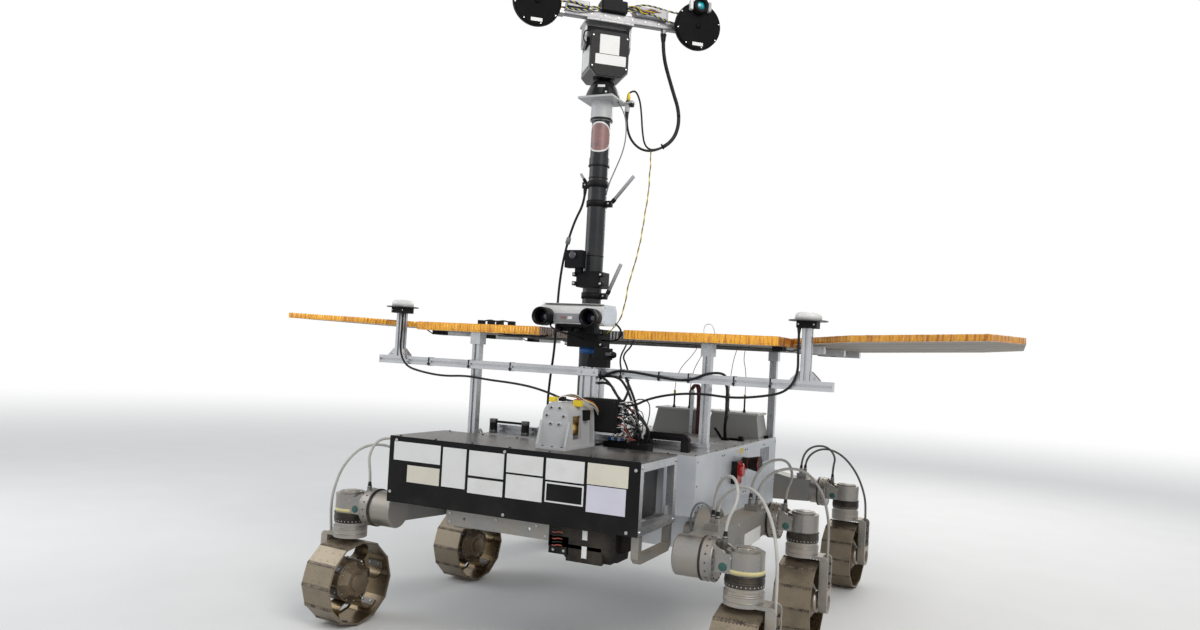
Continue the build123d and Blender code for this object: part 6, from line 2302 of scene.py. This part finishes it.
@dataclass
class Studio:
    """Floor, lights and the camera."""

    camera_place: Point = (1.3778, -3.3262, 0.9872)
    yaw: float = 0.4369
    pitch: float = 0.0197
    roll: float = 0.0555
    focal_pixels: float = 886.62
    axis_row: float = 337.64
    picture: tuple[int, int] = (1200, 630)
    sensor: float = 36.0
    floor_radius: float = 40.0
    fade: Pair = (2.5, 14.0)
    lamp_target: Point = (0.0, 0.0, 0.8)

    def build(self) -> None:
        """Make the studio."""
        self.add_camera()
        self.add_floor()
        self.add_world()
        self.add_lamps()

    def add_camera(self) -> None:
        """Place the camera at the photograph's viewing angle."""
        forward = Vector((-math.sin(self.yaw) * math.cos(self.pitch),
                          math.cos(self.yaw) * math.cos(self.pitch), math.sin(self.pitch)))
        level = Vector((math.cos(self.yaw), math.sin(self.yaw), 0.0))
        lifted = level.cross(forward)
        right = level * math.cos(self.roll) + lifted * math.sin(self.roll)
        up = lifted * math.cos(self.roll) - level * math.sin(self.roll)
        data = bpy.data.cameras.new("camera")
        data.sensor_width = self.sensor
        data.lens = self.sensor * self.focal_pixels / self.picture[0]
        data.shift_y = (self.axis_row - self.picture[1] / 2) / self.picture[0]
        camera = bpy.data.objects.new("camera", data)
        turn = Matrix((right, up, -forward)).transposed().to_4x4()
        camera.matrix_world = Matrix.Translation(self.camera_place) @ turn
        bpy.context.scene.collection.objects.link(camera)
        bpy.context.scene.camera = camera

    def add_floor(self) -> None:
        """Add a pale floor that keeps the rover's shadow and fades into the backdrop."""
        data = bpy.data.meshes.new("floor")
        mesh = bmesh.new()
        bmesh.ops.create_circle(mesh, cap_ends=True, radius=self.floor_radius, segments=64)
        mesh.to_mesh(data)
        mesh.free()
        floor = bpy.data.objects.new("floor", data)
        bpy.context.scene.collection.objects.link(floor)
        graph = Graph(bpy.data.materials.new("pale_floor"))
        length = graph.node("ShaderNodeVectorMath", {"operation": "LENGTH"}, {0: graph.place()})
        distance = Socket(graph, length.outputs["Value"])
        colour = graph.mix(graph.noise(3.0, 5.0), (0.78, 0.78, 0.77), (0.84, 0.84, 0.83))
        shader = graph.node("ShaderNodeBsdfPrincipled", {}, {"Base Color": colour, "Roughness": 0.9})
        glow = graph.node("ShaderNodeEmission", {}, {"Color": WHITE_LIGHT, "Strength": 1.0})
        far = graph.ramp(distance, *self.fade) * graph.seen()
        mixed = graph.node("ShaderNodeMixShader", {}, {0: far, 1: shader.outputs[0], 2: glow.outputs[0]})
        graph.node("ShaderNodeOutputMaterial", {}, {"Surface": mixed.outputs[0]})
        data.materials.append(graph.owner)

    def add_world(self) -> None:
        """Light the rover softly from all round, and show white behind it."""
        world = bpy.data.worlds.new("studio")
        graph = Graph(world)
        light = graph.node("ShaderNodeBackground", {}, {"Color": (0.93, 0.96, 1.0, 1.0), "Strength": 0.55})
        white = graph.node("ShaderNodeBackground", {}, {"Color": WHITE_LIGHT, "Strength": 1.0})
        mixed = graph.node(
            "ShaderNodeMixShader", {}, {0: graph.seen(), 1: light.outputs[0], 2: white.outputs[0]}
        )
        graph.node("ShaderNodeOutputWorld", {}, {"Surface": mixed.outputs[0]})
        bpy.context.scene.world = world

    def add_lamps(self) -> None:
        """Add a large key lamp from the upper right and weaker ones from the left and the back."""
        lamps = (
            ("key", (3.4, -3.2, 4.2), 3.2, 150.0, (1.0, 0.97, 0.93)),
            ("side", (-4.2, -2.0, 2.6), 3.0, 60.0, (0.92, 0.96, 1.0)),
            ("back", (1.0, 4.6, 3.6), 3.0, 90.0, (1.0, 0.98, 0.95))
        )
        for name, place, size, power, colour in lamps:
            data = bpy.data.lights.new(name, "AREA")
            data.shape = "DISK"
            data.size = size
            data.energy = power
            data.color = colour
            lamp = bpy.data.objects.new(name, data)
            lamp.location = place
            lamp.rotation_mode = "QUATERNION"
            lamp.rotation_quaternion = (Vector(self.lamp_target) - Vector(place)).to_track_quat("-Z", "Y")
            bpy.context.scene.collection.objects.link(lamp)


def dress_nodes(nodes: dict[str, bpy.types.Object]) -> None:
    """Give each CAD node its finish.

    Args:
        nodes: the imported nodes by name.
    """
    for name, node in nodes.items():
        finish = NODE_FINISHES.get(name, LEG_METAL if name.startswith(LEG_NODE) else MACHINED)
        for slot in node.material_slots:
            slot.material = finish.build()


def main() -> None:
    """Build the looks of every sub-assembly round the frame."""
    logging.basicConfig(level=logging.INFO, format="%(message)s")
    random.seed(7)
    bpy.context.scene.view_settings.view_transform = "Standard"
    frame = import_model()
    Studio().build()
    Conduits().build()
    HeadCables().build()
    dress_nodes(frame["nodes"])
    for corner in Corner:
        Wheel(f"driven_wheel_{corner.label}", corner).build()
        LegTrim(f"leg_trim_{corner.label}", corner).build()
    for part in (SteeringUnits(), Bogies(), FrontBox(), Body(), Actuator(), Wiring(), Mast(), CrossBeam(),
                 SolarArray(), ArrayParts(), RadioBoxes(), StereoCamera(), Head()):
        part.build()


if __name__ == "__main__":
    main()
